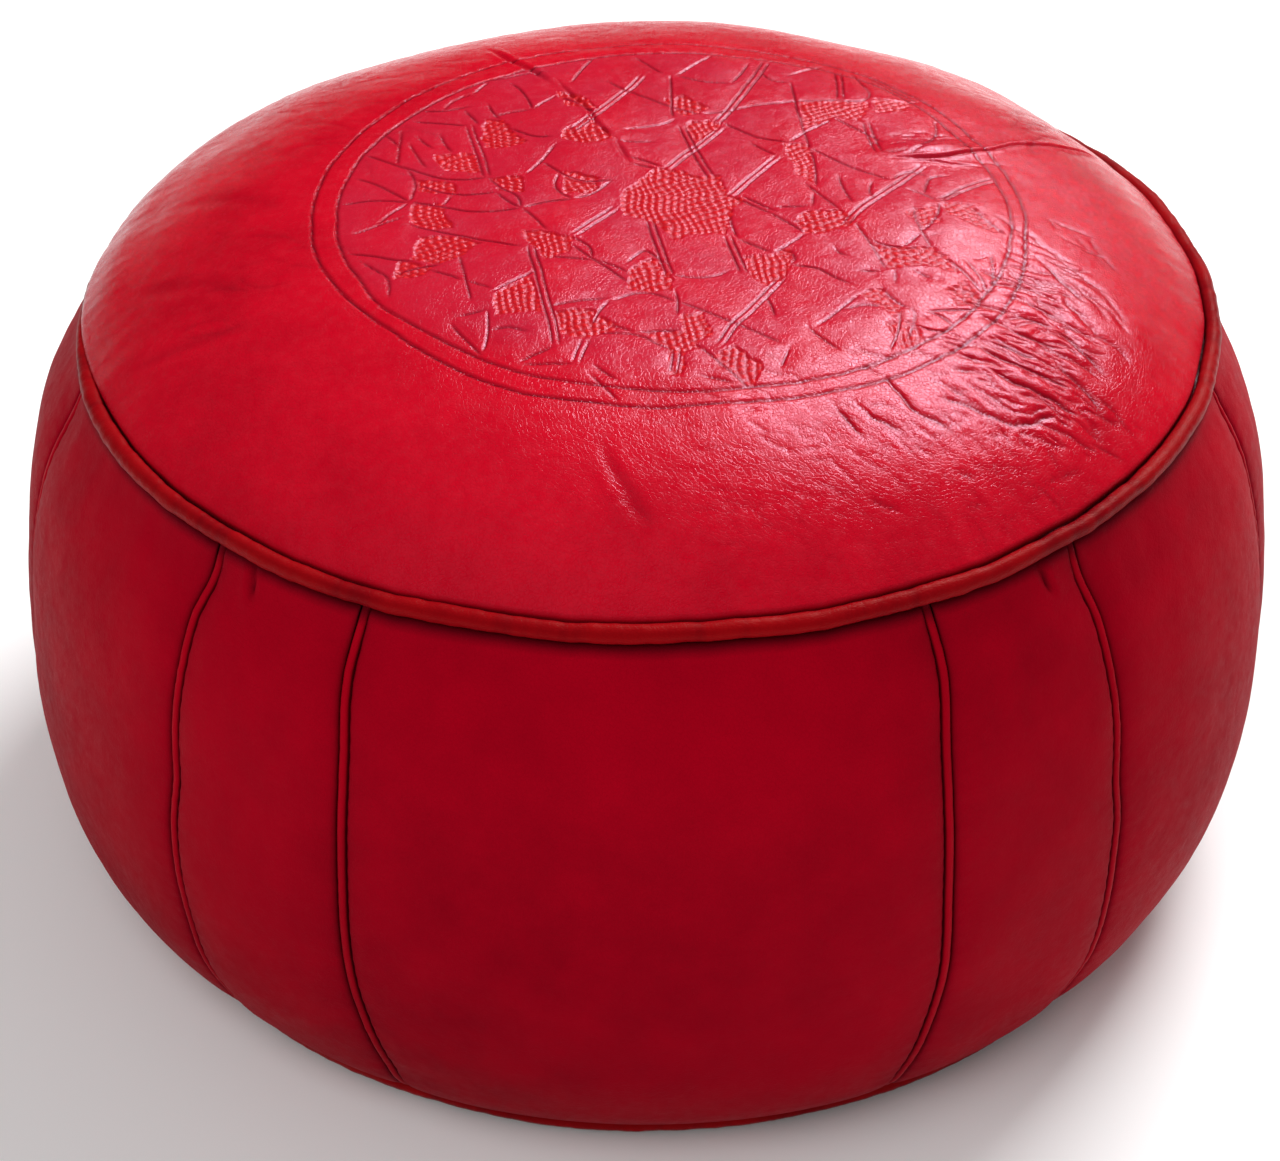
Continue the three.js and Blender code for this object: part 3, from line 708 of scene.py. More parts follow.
def top_relief(x, y):
    """Height above the plain dome, the shade painted into its creases, how dotted it is, and the petals'
    darker tone with its painted sheen, over plan points.
    """
    place = np.stack([x, y, 0 * x], -1)
    radius = np.hypot(x, y)
    wobble_x, wobble_y = warped_by(place, 0.5, 16, 21)

    tooling = Relief(wobble_x, wobble_y)
    for line in BANDS:
        tooling.band(rounded(line), 0.62, 0.45, 2.7)
    for line in LINES:
        tooling.stroke(rounded(line), 0.62, 0.5, 0.08)
    for ring, depth in ((OUTER_RING, 0.7), (INNER_RING, 0.65)):
        tooling.stroke(rounded(ring, 3, closed=True), depth, 0.6, 0.1, closed=True)
    medallion = inside(wobble_x, wobble_y, INNER_RING)
    pillow = np.where(medallion, 1 - bell(tooling.near, 4.0), 0.6 * smooth_step(tooling.near, 0, 9))

    dotted = np.zeros(x.shape, bool)
    rough_x = wobble_x + 1.3 * gradient_noise(place, 5, 29)
    rough_y = wobble_y + 1.3 * gradient_noise(place, 5, 30)
    for patch in DOTTED:
        dotted |= inside(rough_x, rough_y, patch)
    clear = smooth_step(tooling.near, 0.5, 1.6) * dotted
    row = (wobble_x + 0.16 * wobble_y + 2.2 * gradient_noise(place, 13, 23)) / DOT_GAP
    step = (wobble_y + 2.2 * gradient_noise(place, 13, 24)) / DOT_STEP + 0.5 * np.round(row)
    dots = np.sqrt((0.5 + 0.5 * np.cos(2 * np.pi * row)) * (0.5 + 0.5 * np.cos(2 * np.pi * step)))
    dots = smooth_step(dots + 0.12 * gradient_noise(place, 4, 32), 0.32, 0.95)

    folds = Relief(*warped_by(place, 1.4, 22, 25))
    for line, depth, width in FOLDS:
        folds.stroke(rounded(line), depth, width, 0.3 * depth, taper=14)

    creased = Relief(*warped_by(place, 1.2, 9, 27))
    rng = np.random.default_rng(31)
    for line in WRINKLES:
        creased.stroke(rounded(line), 1.1, 0.9, taper=7, sharp=True)
    for count, centre, spread, angle, turn, length, depth, width in WRINKLE_GROUPS:
        for line in random_wrinkles(rng, count, centre, np.array(spread), angle, turn, length):
            creased.stroke(line, depth * rng.uniform(0.5, 1.2), width, taper=5, sharp=True)
    crumple = bell(np.hypot((x - 152) / 34, (y + 98) / 46), 1.0)
    puff = 0.8 * crumple * (1 - bell(creased.near, 2.4))
    pucker = 2.4 * bell(np.hypot((x - 121) / 20, (y - 37 - 0.25 * (x - 121)) / 7), 1.0)

    lumps = (
        2.0 * gradient_noise(place, 120, 41) + 0.9 * gradient_noise(place, 52, 42)
        + (0.14 + 0.16 * crumple) * gradient_noise(place, 9, 43)
    )
    fade = 1 - smooth_step(radius, 205, 232)
    height = (
        lumps * (0.25 + 0.75 * fade) + 0.38 * pillow - tooling.cut + tooling.lip
        - clear * (0.12 + 0.6 * (1 - dots)) - folds.cut + folds.lip + puff + pucker
        - creased.cut * (0.3 + 0.7 * fade)
    )
    # Shade painted into the tooled lines, folds and wrinkles, and into the pits between the punched dots.
    painted_shade = np.clip(
        1.5 * tooling.cut + 0.42 * folds.cut + 0.95 * creased.cut + 0.45 * clear * (1 - dots), 0, 1,
    )
    # The petals get a darker tone, made pinker as a painted sheen.
    petal_tone_and_sheen = medallion * (1 - clear) * smooth_step(radius, 150, 120)
    petal_tone_and_sheen = petal_tone_and_sheen * (0.8 + 0.5 * gradient_noise(place, 24, 33))
    return height, painted_shade, clear * (0.35 + 0.65 * dots), petal_tone_and_sheen


def concentric(count):
    """A square grid bent into a disc: each point's ring, from 0 to 1, and azimuth in radians."""
    a, b = np.meshgrid(np.linspace(-1, 1, count), np.linspace(-1, 1, count), indexing="ij")
    ring = np.maximum(np.abs(a), np.abs(b))
    safe = np.where(ring == 0, 1, ring)
    wide = np.abs(a) >= np.abs(b)
    turn = np.where(wide, np.pi / 4 * b / safe, np.pi / 2 - np.pi / 4 * a / safe)
    turn = np.where(wide & (a < 0), np.pi - np.pi / 4 * b / safe, turn)
    turn = np.where(~wide & (b < 0), -np.pi / 2 + np.pi / 4 * a / safe, turn)
    return ring, turn


def rim_loop(count):
    """The grid's outermost points in order, as indices."""
    index = np.arange(count * count).reshape(count, count)
    return np.concatenate([index[:-1, 0], index[-1, :-1], index[:0:-1, -1], index[0, :0:-1]])


# The loops of the top's underside, as shares of the way from its middle to its rim.
UNDERSIDE_RINGS = [0.965, 0.94, 0.9, 0.85, 0.8, 0.74, 0.66, 0.56, 0.44, 0.3, 0.15, 0.04]


def build_top():
    half = 300
    count = 2 * half + 1
    ring, turn = concentric(count)
    # The last few rings turn down beside the piping; (how far in, how far down) from the dome's rim.
    tuck = np.array([(0, 0), (0.9, -0.9), (1.0, -2.4), (0.5, -4.4), (0.6, -6.2), (1.6, -8.0)])
    tuck_steps = len(tuck) - 1
    dome_steps = half - tuck_steps
    step = ring * half
    share = np.clip(step / dome_steps, 0, 1)
    radius = DOME_RADIUS * share * (0.74 + 0.26 * share**2)
    past = np.clip(step - dome_steps, 0, tuck_steps)
    outward = np.interp(past, range(tuck_steps + 1), tuck[:, 0])
    drop = np.interp(past, range(tuck_steps + 1), tuck[:, 1])
    x, y = radius * np.cos(turn), radius * np.sin(turn)
    azimuth = np.degrees(np.arctan2(x, -y))
    height, painted_shade, dotted, petal_tone_and_sheen = (v.reshape(x.shape) for v in top_relief(x.ravel(), y.ravel()))
    slope = -DOME_RISE * DOME_POWER / DOME_RADIUS * (radius / DOME_RADIUS) ** (DOME_POWER - 1)
    lean = -slope / np.hypot(1, slope)
    overhang = hidden_edge(azimuth)
    height = height + 1.4 * overhang * bell(radius - 222, 10) * (past == 0)
    rise = dome_height(radius) + height / np.hypot(1, slope) + drop
    rise += edge_wave(azimuth) * smooth_step(radius, 195, 232)
    out = radius + height * lean * (1 - 0.4 * smooth_step(radius, 215, 232)) + outward
    out += edge_sway(azimuth) * smooth_step(radius, 205, 232)
    out += 3.6 * overhang * smooth_step(radius, 190, 231) * (1 - smooth_step(past, 1.5, 5))
    points = np.stack([out * np.cos(turn), out * np.sin(turn), rise], -1).reshape(-1, 3)
    # Shade painted on the rings that turn down beside the piping.
    painted_shade = np.maximum(painted_shade, smooth_step(past, 0.5, 3)).ravel()

    faces = [grid_faces(count, count)]
    loop = rim_loop(count)
    rows, columns = np.divmod(loop, count)
    below, first = [points], len(points)
    for share in UNDERSIDE_RINGS:
        near = np.round(half + share * (np.stack([rows, columns]) - half)).astype(int)
        below.append(points[near[0] * count + near[1]] * (0.995, 0.995, 1) - (0, 0, TOP_THICKNESS))
    middle = points[half * count + half] - (0, 0, TOP_THICKNESS)
    points = np.vstack(below + [middle[None]])
    lower = first + np.arange(len(UNDERSIDE_RINGS) * len(loop)).reshape(-1, len(loop))
    under = np.vstack([loop, lower])
    wrap = np.hstack([under, under[:, :1]])
    faces.append(np.stack([wrap[:-1, :-1], wrap[:-1, 1:], wrap[1:, 1:], wrap[1:, :-1]], -1).reshape(-1, 4))
    centre = np.full(len(loop), len(points) - 1)
    faces.append(np.stack([wrap[-1, :-1], wrap[-1, 1:], centre], -1))
    spare = len(points) - len(painted_shade)
    attributes = {
        key: np.concatenate([values.ravel(), np.zeros(spare)])
        for key, values in (("painted_shade", painted_shade), ("stipple", dotted), ("petal_tone_and_sheen", petal_tone_and_sheen))
    }
    piece = add_mesh("top_skin", points, faces, TOP_LEATHER, attributes=attributes)
    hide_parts("top_panel")


build_top()

# ---------------- side panels and welts


def spline(points, count):
    """Evenly spaced points on a smooth curve through the given ones."""
    control = np.array(points, float)
    before = np.vstack([2 * control[0] - control[1], control, 2 * control[-1] - control[-2]])
    dense = []
    for i in range(1, len(before) - 2):
        p0, p1, p2, p3 = before[i - 1:i + 3]
        t = np.linspace(0, 1, 24, endpoint=False)[:, None]
        dense.append(0.5 * (
            2 * p1 + (p2 - p0) * t + (2 * p0 - 5 * p1 + 4 * p2 - p3) * t**2
            + (3 * p1 - p0 - 3 * p2 + p3) * t**3
        ))
    dense = np.vstack(dense + [control[-1:]])
    travelled = np.concatenate([[0], np.cumsum(np.linalg.norm(np.diff(dense, axis=0), axis=1))])
    even = np.linspace(0, travelled[-1], count)
    return np.stack([np.interp(even, travelled, dense[:, k]) for k in range(2)], -1)


SIDE_ROWS = 120
OUTLINE = spline(SIDE_OUTLINE, SIDE_ROWS)
OUTLINE_ALONG = np.gradient(OUTLINE, axis=0)
OUTLINE_ALONG /= np.linalg.norm(OUTLINE_ALONG, axis=1, keepdims=True)

FRONT_SEAMS, OUTER_SEAMS = (0, 1), (2, 11)


def front_stray(height):
    """Degrees towards the middle: the front seams close in at the foot and bow out under the piping."""
    return 1.9 * (1 - smooth_step(height, 10, 110)) - 0.9 * bell(height - 232, 22)


def outer_stray(height):
    """Degrees towards the middle: the next seams bow out between their ends, with a kink half way up."""
    ends = 1.05 * (1 - smooth_step(height, 10, 70)) + 0.95 * smooth_step(height, 222, 245)
    return ends + 0.4 * bell(height - 155, 14) - 0.55


def seam_azimuth(index, height):
    start = SEAMS[index % len(SEAMS)]
    if index % len(SEAMS) in FRONT_SEAMS:
        stray = front_stray(height) * (1 if start < 0 else -1)
    elif index % len(SEAMS) in OUTER_SEAMS:
        stray = outer_stray(height) * (1 if start > 180 else -1)
    else:
        stray = 0.55 * line_noise(height, 70, 60 + index)
    return start + stray


def side_lumps(azimuth, height, radius):
    """Soft unevenness of the stuffed sides, for arrays of the same shape."""
    place = around(radius, azimuth, height)
    from_top = np.clip(252 - height, 0, None)
    gathers = ring_noise(azimuth, 13, 51) * np.exp(-from_top / 26)
    return (
        1.7 * gradient_noise(place, 95, 52) + 0.55 * gradient_noise(place, 38, 53)
        + 0.14 * gradient_noise(place, 10, 54) + 0.8 * gathers
    )


def side_freedom(height):
    """1 on the side's free part, 0 where it is sewn to the pipings."""
    return smooth_step(height, 12, 40) * (1 - smooth_step(height, 232, 251))


def painted_lower_shade(height):
    """Shade painted down the side, darker towards the bottom, as an amount of the painted shade colour."""
    return 0.2 * smooth_step(-height, -215, -120) + 0.08 * smooth_step(-height, -110, -40)


def raised_with_piping(azimuth, height):
    """How far the side's upper edge goes up and down with the piping that it is sewn to."""
    return edge_wave(azimuth) * smooth_step(height, 215, 250)


# The small tucks below the piping, at either side of the front.
TUCKS = {1: 37.7, 11: 322.3}


def build_panel(index):
    name = SIDE_NAMES[index]
    heights = OUTLINE[:, 1]
    start = seam_azimuth(index, heights)
    last = (index + 1) % len(SEAMS)
    full_turn = 360 if last < index else 0
    end = seam_azimuth(last, heights) + full_turn
    width = math.radians(SEAMS[last] - SEAMS[index] + full_turn) * EQUATOR_RADIUS
    columns = int(width / (2.3)) + 12
    u = np.linspace(0, 1, columns)
    t = u - 0.62 / (2 * np.pi) * np.sin(2 * np.pi * u)
    arc = np.radians(end - start) * OUTLINE[:, 0]
    margin = (WELT_HALF + 0.1) / arc
    share = margin[:, None] + (1 - 2 * margin[:, None]) * t[None, :]
    azimuth = start[:, None] + (end - start)[:, None] * share
    radius = np.repeat(OUTLINE[:, :1], columns, 1)
    height = np.repeat(heights[:, None], columns, 1)
    edge = np.minimum(t, 1 - t)[None, :] * arc[:, None]
    stitch = np.sin(2 * np.pi * (height + 3 * ring_noise(azimuth, 30, 70 + index)) / 7.5)
    puff = 1.3 - 2.3 * np.exp(-edge / 7.0) - 2.0 * np.exp(-edge / 0.7) + 0.22 * stitch * np.exp(-edge / 5.0)
    # Shade painted along the seams, beside the welts.
    painted_shade = 0.95 * np.exp(-edge / 0.9) + 0.16 * np.exp(-edge / 6)
    ends = side_freedom(height)
    lumps = side_lumps(azimuth, height, radius)
    height_change = puff * (0.35 + 0.65 * ends) + lumps * (0.15 + 0.85 * ends)
    if index in TUCKS:
        tuck_at = TUCKS[index]
        sideways = (azimuth - tuck_at - 0.05 * (252 - height)) * 4.3
        away = np.hypot(sideways, np.clip(243 - height, 0, None) * 0.6)
        height_change -= 2.0 * bell(away, 1.4) - 0.5 * bell(away - 3.6, 2.0)
        painted_shade = np.maximum(painted_shade, 0.9 * bell(away, 1.3))
    # Shade painted down the lower side and under the piping.
    painted_shade = np.maximum(painted_shade + painted_lower_shade(height), smooth_step(height, 247, 251.5))
    normal_out, normal_up = -OUTLINE_ALONG[:, 1:], OUTLINE_ALONG[:, :1]
    out = radius + height_change * normal_out
    up = height + height_change * normal_up + raised_with_piping(azimuth, height)
    points = around(out, azimuth, up)
    piece = add_mesh(
        name + "_skin", points, grid_faces(len(heights), columns), SIDE_LEATHER,
        attributes=painted_shade_only(painted_shade),
    )
    thicken(piece, LEATHER)
    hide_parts(name)


# Half of a welt's section from its crest down, as (sideways, outward); its foot lies under the panels' edges.
WELT_SECTION = [
    (0, 0.35), (0.8, 0.25), (1.45, -0.25), (1.75, -1.1), (1.8, -2.6), (3.4, -4.2), (7.5, -4.9), (7.5, -6.4),
    (0, -6.0),
]


def build_welt(index):
    heights = OUTLINE[:, 1]
    azimuth = seam_azimuth(index, heights)
    half = np.array(WELT_SECTION, float)
    section = np.vstack([half, half[-2:0:-1] * (-1, 1)])
    rows, columns = len(heights), len(section)
    level = side_lumps(azimuth, heights, OUTLINE[:, 0]) * (0.15 + 0.85 * side_freedom(heights))
    level += 0.22 * line_noise(heights, 3.4, 90 + index) - 0.9
    away = level[:, None] + section[None, :, 1]
    radius = OUTLINE[:, :1] - OUTLINE_ALONG[:, 1:] * away
    up = heights[:, None] + OUTLINE_ALONG[:, :1] * away
    up = up + raised_with_piping(azimuth, heights)[:, None]
    turned = azimuth[:, None] + np.degrees(section[None, :, 0] / OUTLINE[:, :1])
    points = around(radius, turned, up)
    # Shade painted on the welt's foot where it goes under the panels, down the lower side and under the
    # piping.
    painted_shade = np.broadcast_to(smooth_step(-section[:, 1], -0.1, 1.3)[None, :], (rows, columns))
    painted_shade = np.maximum(painted_shade + painted_lower_shade(heights)[:, None], smooth_step(heights, 244, 251)[:, None])
    body = points.reshape(-1, 3)
    ends = [(0, slice(None)), ((rows - 1) * columns, slice(None, None, -1))]
    caps = np.stack([body[first:first + columns].mean(0) for first, _ in ends])
    faces = [grid_faces(rows, columns, close_columns=True)]
    for k, (first, order) in enumerate(ends):
        ring = first + np.arange(columns)[order]
        faces.append(np.stack([np.full(columns, len(body) + k), np.roll(ring, -1), ring], -1))
    piece = add_mesh(
        f"seam_welt_{index + 1}", np.vstack([body, caps]), faces, WELT_LEATHER,
        attributes=painted_shade_only(np.concatenate([painted_shade.ravel(), [1, 1]])),
    )
    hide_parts(f"side_welt_{index + 1}")


for panel in range(len(SEAMS)):
    build_panel(panel)
    build_welt(panel)

# ---------------- pipings


def build_roll(name, node, ring, thickness, material, seed, wave, shape):
    """A tube round the pouf. shape gives its radius at each place and turn, and how much shade is painted on
    it.
    """
    steps, sections = ((1440, 20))
    ring_radius, ring_height = ring
    azimuth = np.linspace(0, 360, steps, endpoint=False)[:, None]
    turn = np.linspace(0, 2 * np.pi, sections, endpoint=False)[None, :]
    place = around(ring_radius, azimuth[:, 0], 0)
    size, painted_shade = shape(azimuth, turn, place, seed, thickness)
    level = ring_height + (edge_wave(azimuth) if wave else 0)
    inward = 0.4 * gradient_noise(place, 60, 83)[:, None]
    if wave:
        inward = inward + edge_sway(azimuth) - HIDDEN_DEPTH * hidden_edge(azimuth)
    radius = ring_radius + inward + size * np.cos(turn)
    points = around(radius, azimuth, np.maximum(level + size * np.sin(turn), 0.4))
    painted_shade = np.broadcast_to(painted_shade, size.shape)
    piece = add_mesh(
        name, points, grid_faces(steps, sections, True, True), material,
        attributes=painted_shade_only(painted_shade),
    )
    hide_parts(node)


def piping_shape(azimuth, turn, place, seed, thickness):
    """Leather rolled round a cord, pinched here and there."""
    pinch = 0.14 * gradient_noise(place, 3.4, seed) + 0.2 * gradient_noise(place, 9, seed + 1)
    pinch = (pinch + 0.3 * gradient_noise(place, 45, seed + 2))[:, None]
    size = thickness + pinch + 0.1 * np.sin(3 * turn + azimuth / 9)
    # Shade painted into the pinches, on the underside and on the inner side against the pouf.
    painted_shade = np.maximum(np.clip(-1.6 * pinch, 0, 0.4), 0.6 * smooth_step(-np.sin(turn), 0.5, 1.0))
    return size, np.maximum(painted_shade, 0.9 * smooth_step(-np.cos(turn), 0.6, 1.0))


def rope_shape(azimuth, turn, _place, _seed, thickness):
    """Three twisted strands."""
    strands = np.abs(np.cos(1.5 * (turn - np.radians(azimuth) * 120)))
    return thickness * (0.86 + 0.14 * strands), 0 * azimuth


ROLL_RADIUS = PIPING_RADIUS - 1.15
ROPE_RADIUS = 2.3
for ring_name, ring, wave, seed in (
    ("top_piping", (TOP_RING, TOP_RING_HEIGHT), True, 81),
    ("bottom_piping", (BOTTOM_RING, BOTTOM_RING_HEIGHT), False, 91),
):
    build_roll(
        ring_name + "_roll", ring_name, ring, ROLL_RADIUS, PIPING_LEATHER, seed, wave,
        piping_shape,
    )
    build_roll(
        ring_name + "_rope", ring_name + "_cord", ring, ROPE_RADIUS, CORD, seed, wave,
        rope_shape,
    )

# ---------------- base

_, BASE_HIGH = cad_box("base_panel_front")
BASE_RADIUS = BASE_HIGH[0]
BASE_REACH = BASE_RADIUS + 1.9
RECESS_HALF_LENGTH, RECESS_HALF_WIDTH = 215.0, 14.0
SLIT = 0.15
HALVES = (("front", -1), ("back", 1))
STITCH_INSET = 5.0


def build_base(half, side):
    """Half the base's skin, from the zip's opening out to the rim, which turns up beside the piping."""
    length, width, leg, edge = RECESS_HALF_LENGTH, RECESS_HALF_WIDTH, 9, 190
    corner = math.degrees(math.atan2(width, length))
    across = np.linspace(-length, length, edge)
    inner_x = np.concatenate([np.full(leg, -length), across[1:-1], np.full(leg, length)])
    end_leg = np.linspace(SLIT, width, leg)
    inner_y = np.concatenate([end_leg, np.full(edge - 2, width), np.linspace(width, SLIT, leg)])
    start = math.degrees(math.asin(SLIT / BASE_REACH))
    middle = 90 + (90 - corner) * np.sin(np.linspace(math.pi / 2, -math.pi / 2, edge))
    end_turn = np.linspace(start, corner, leg)
    turn = np.radians(np.concatenate([180 - end_turn, middle[1:-1], end_turn[::-1]]))
    rows = np.concatenate([
        np.linspace(0, 0.12, 12)[:-1], np.linspace(0.12, 0.9, 34)[:-1], np.linspace(0.9, 1, 12),
    ])
    x = inner_x + (BASE_REACH * np.cos(turn) - inner_x) * rows[:, None]
    y = side * (inner_y + (BASE_REACH * np.sin(turn) - inner_y) * rows[:, None])
    place = np.stack([x, y, 0 * x], -1)
    radius = np.hypot(x, y)
    from_opening = np.maximum(np.abs(x) - length, np.abs(y) - width)
    seam = bell(from_opening - STITCH_INSET, 1.2)
    rise = 0.35 + 0.3 * gradient_noise(place, 70, 101) + 0.12 * gradient_noise(place, 14, 102)
    rise = np.maximum(rise, 0.05) + 0.7 * seam + 3.4 * smooth_step(radius, 220, BASE_REACH) ** 2
    # Shade painted along the stitched seam and on the rim that turns up beside the piping.
    painted_shade = 0.5 * seam + 0.7 * smooth_step(radius, 233, BASE_REACH)
    piece = add_mesh(
        f"base_panel_{half}_skin", np.stack([x, y, rise], -1), grid_faces(*x.shape, flip=side < 0),
        BASE_LEATHER, attributes=painted_shade_only(painted_shade),
    )
    thicken(piece, LEATHER - 0.3)
    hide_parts(f"base_panel_{half}")


STITCH_PITCH = 5.2
STITCH_SIZE = (1.75, 0.42, 0.36)
STITCH_HEIGHT = 0.72


def ellipsoids(centres, headings, size):
    """Many small rounded stitches at once: their points and faces."""
    across, down = 8, 5
    longitude = np.linspace(0, 2 * np.pi, across, endpoint=False)
    latitude = np.linspace(-np.pi / 2, np.pi / 2, down + 2)[1:-1]
    ring = np.stack([
        np.sin(latitude)[:, None] + 0 * longitude[None, :],
        np.cos(latitude)[:, None] * np.cos(longitude)[None, :],
        np.cos(latitude)[:, None] * np.sin(longitude)[None, :],
    ], -1).reshape(-1, 3)
    one = np.vstack([ring, [[-1, 0, 0], [1, 0, 0]]]) * size
    a = np.radians(headings)[:, None]
    points = np.stack([
        one[None, :, 0] * np.cos(a) - one[None, :, 1] * np.sin(a),
        one[None, :, 0] * np.sin(a) + one[None, :, 1] * np.cos(a),
        np.broadcast_to(one[None, :, 2], (len(centres), len(one))),
    ], -1) + centres[:, None, :]
    quads = grid_faces(down, across, close_columns=True, flip=True)
    first, last = np.arange(across), (down - 1) * across + np.arange(across)
    tips = np.vstack([
        np.stack([np.full(across, len(ring)), first, np.roll(first, -1)], -1),
        np.stack([np.full(across, len(ring) + 1), np.roll(last, -1), last], -1),
    ])
    return points.reshape(-1, 3), repeated([quads, tips], len(centres), len(one))


def build_base_stitches(half, side):
    """The line of stitches along one half of the zip's opening."""
    reach, depth = RECESS_HALF_LENGTH + STITCH_INSET, RECESS_HALF_WIDTH + STITCH_INSET
    path = np.array([(-reach, side * 3), (-reach, side * depth), (reach, side * depth), (reach, side * 3)])
    centres, headings = [], []
    for a, b in zip(path[:-1], path[1:]):
        length = np.linalg.norm(b - a)
        count = int(length / STITCH_PITCH)
        for k in range(count):
            centres.append([*(a + (b - a) * (k + 0.5) / count), STITCH_HEIGHT])
            headings.append(math.degrees(math.atan2(*(b - a)[::-1])) + 4 * math.sin(7.3 * k))
    points, faces = ellipsoids(np.array(centres), np.array(headings), STITCH_SIZE)
    add_mesh(f"base_stitches_{half}", points, faces, THREAD)


# ---------------- zip

TAPE_LOW, TAPE_HIGH = cad_box("zip_tape_back")
TEETH_LOW, TEETH_HIGH = cad_box("zip_teeth_back")
# The facing's visible side, from inside the base up beside the recess and in under the tape: half the length
# and half the width of each rectangle, and its height.
FACING_SECTION = [
    (227, 26, 2.5), (217.5, 16.5, 2.5), (215.6, 14.6, 2.7), (215.05, 14.05, 3.5), (215, 14, 6.2),
    (214.6, 13.7, 7.0), (213.6, 13.2, 7.3), (203, 10.6, 7.3), (191.2, 7.4, 7.3), (190.2, 7.1, 7.6),
]


def build_facing(half, side):
    """The leather that turns in round the opening and holds the tape."""
    rows = []
    for length, width, height in FACING_SECTION:
        end_leg = np.linspace(SLIT, width, 9)
        across = np.linspace(-length, length, 130)[1:-1]
        x = np.concatenate([np.full(9, -length), across, np.full(9, length)])
        y = side * np.concatenate([end_leg, np.full(128, width), end_leg[::-1]])
        rows.append(np.stack([x, y, np.full(len(x), height)], -1))
    points = np.array(rows)
    points[..., 2] += 0.12 * gradient_noise(points, 17, 111)
    # Shade painted over the facing, darkest where it turns in towards the tape.
    painted_shade = 0.3 + 0.4 * bell(np.arange(len(rows))[:, None] - 5.5, 1.0) + 0 * points[..., 0]
    piece = add_mesh(
        f"zip_facing_{half}_skin", points, grid_faces(len(rows), points.shape[1], flip=side > 0),
        BASE_LEATHER, attributes=painted_shade_only(painted_shade),
    )
    thicken(piece, 1.5)
    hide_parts(f"zip_facing_{half}")


def build_tape(half, side):
    """A woven tape, with a bead along the edge that the teeth grip."""
    x = np.linspace(TAPE_LOW[0], TAPE_HIGH[0], 260)
    y = np.linspace(TAPE_LOW[1], TAPE_HIGH[1], 14)
    gx, gy = np.meshgrid(x, y, indexing="ij")
    # Beyond the stops the two tapes close up.
    gy = gy - 2.5 * smooth_step(np.abs(gx), 184.2, 185.6) * (1 - (gy - y[0]) / (y[-1] - y[0]))
    place = np.stack([gx, gy, 0 * gx], -1)
    bead = bell(gy - TAPE_LOW[1] - 0.8, 0.7)
    height = TAPE_LOW[2] + 0.12 * gradient_noise(place, 16, 121) - 0.25 * bead
    piece = add_mesh(
        f"zip_tape_{half}_cloth", np.stack([gx, side * gy, height], -1),
        grid_faces(len(x), len(y), flip=side > 0), TAPE,
    )
    thicken(piece, 0.7)
    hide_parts(f"zip_tape_{half}")


TOOTH_PITCH = 3.0
# A tooth's sections from its root to its nub: how far out, and half its size along the zip and upwards.
TOOTH_SECTIONS = [
    (3.7, 0.55, 0.75), (3.6, 0.75, 1.05), (2.3, 0.78, 1.25), (1.2, 0.8, 1.45), (0.75, 0.7, 1.2),
    (0.62, 0.45, 0.8),
]


def build_teeth(half, side):
    """Cast teeth, each a rounded bar that grips the tape's edge and narrows to a nub."""
    middle, sides = (TEETH_LOW[2] + TEETH_HIGH[2]) / 2, 12
    count = int((TEETH_HIGH[0] - TEETH_LOW[0]) / TOOTH_PITCH)
    corner = np.linspace(0, 2 * np.pi, sides, endpoint=False)
    squared = 1 / np.maximum(np.abs(np.cos(corner)), np.abs(np.sin(corner))) ** 0.6
    one = np.array([
        np.stack([
            half_x * squared * np.cos(corner), np.full(sides, reach), half_z * squared * np.sin(corner),
        ], -1)
        for reach, half_x, half_z in TOOTH_SECTIONS
    ]).reshape(-1, 3)
    one = np.vstack([one, [[0, TOOTH_SECTIONS[0][0], 0], [0, TOOTH_SECTIONS[-1][0], 0]]])
    quads = grid_faces(len(TOOTH_SECTIONS), sides, close_columns=True)
    first = np.arange(sides)
    last = (len(TOOTH_SECTIONS) - 1) * sides + first
    tips = np.vstack([
        np.stack([np.full(sides, len(one) - 2), np.roll(first, -1), first], -1),
        np.stack([np.full(sides, len(one) - 1), last, np.roll(last, -1)], -1),
    ])
    if side < 0:
        quads, tips = quads[:, ::-1], tips[:, ::-1]
    starts = TEETH_LOW[0] + TOOTH_PITCH * (np.arange(count) + (0.25 if side < 0 else 0.75))
    centres = np.stack([starts, 0 * starts, 0 * starts + middle], -1)
    points = (one * (1, side, 1))[None] + centres[:, None]
    faces = repeated([quads, tips], count, len(one))
    piece = add_mesh(f"zip_teeth_{half}_cast", points, faces, BRASS)
    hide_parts(f"zip_teeth_{half}")


for half_name, half_side in HALVES:
    for build in (build_base, build_base_stitches, build_facing, build_tape, build_teeth):
        build(half_name, half_side)


EASED = 0.28


def dress_cad(node, material):
    """A CAD node that shows as it is, with its edges eased."""
    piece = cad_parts[node]
    piece.data.materials.clear()
    piece.data.materials.append(material)
    edge = piece.modifiers.new("eased", "BEVEL")
    edge.width = EASED * MM
    edge.segments = 3
    edge.limit_method = "ANGLE"


for part in ("zip_slider", "zip_pull_tab", "zip_bottom_stop", "zip_top_stop_front", "zip_top_stop_back"):
    dress_cad(part, BRASS)

# ---------------- bag and stuffing, inside

INSIDE_FLOOR = 4.4
# How far inside the leather's outline the bag and the stuffing start; floors are reckoned from the least.
LEAST_INSET, BAG_INSET, FILL_INSET = 8.0, 9.0, 11.5
CHANNEL_HALF_LENGTH, CHANNEL_HALF_WIDTH, CHANNEL_HEIGHT = 232.0, 31.0, 15.6


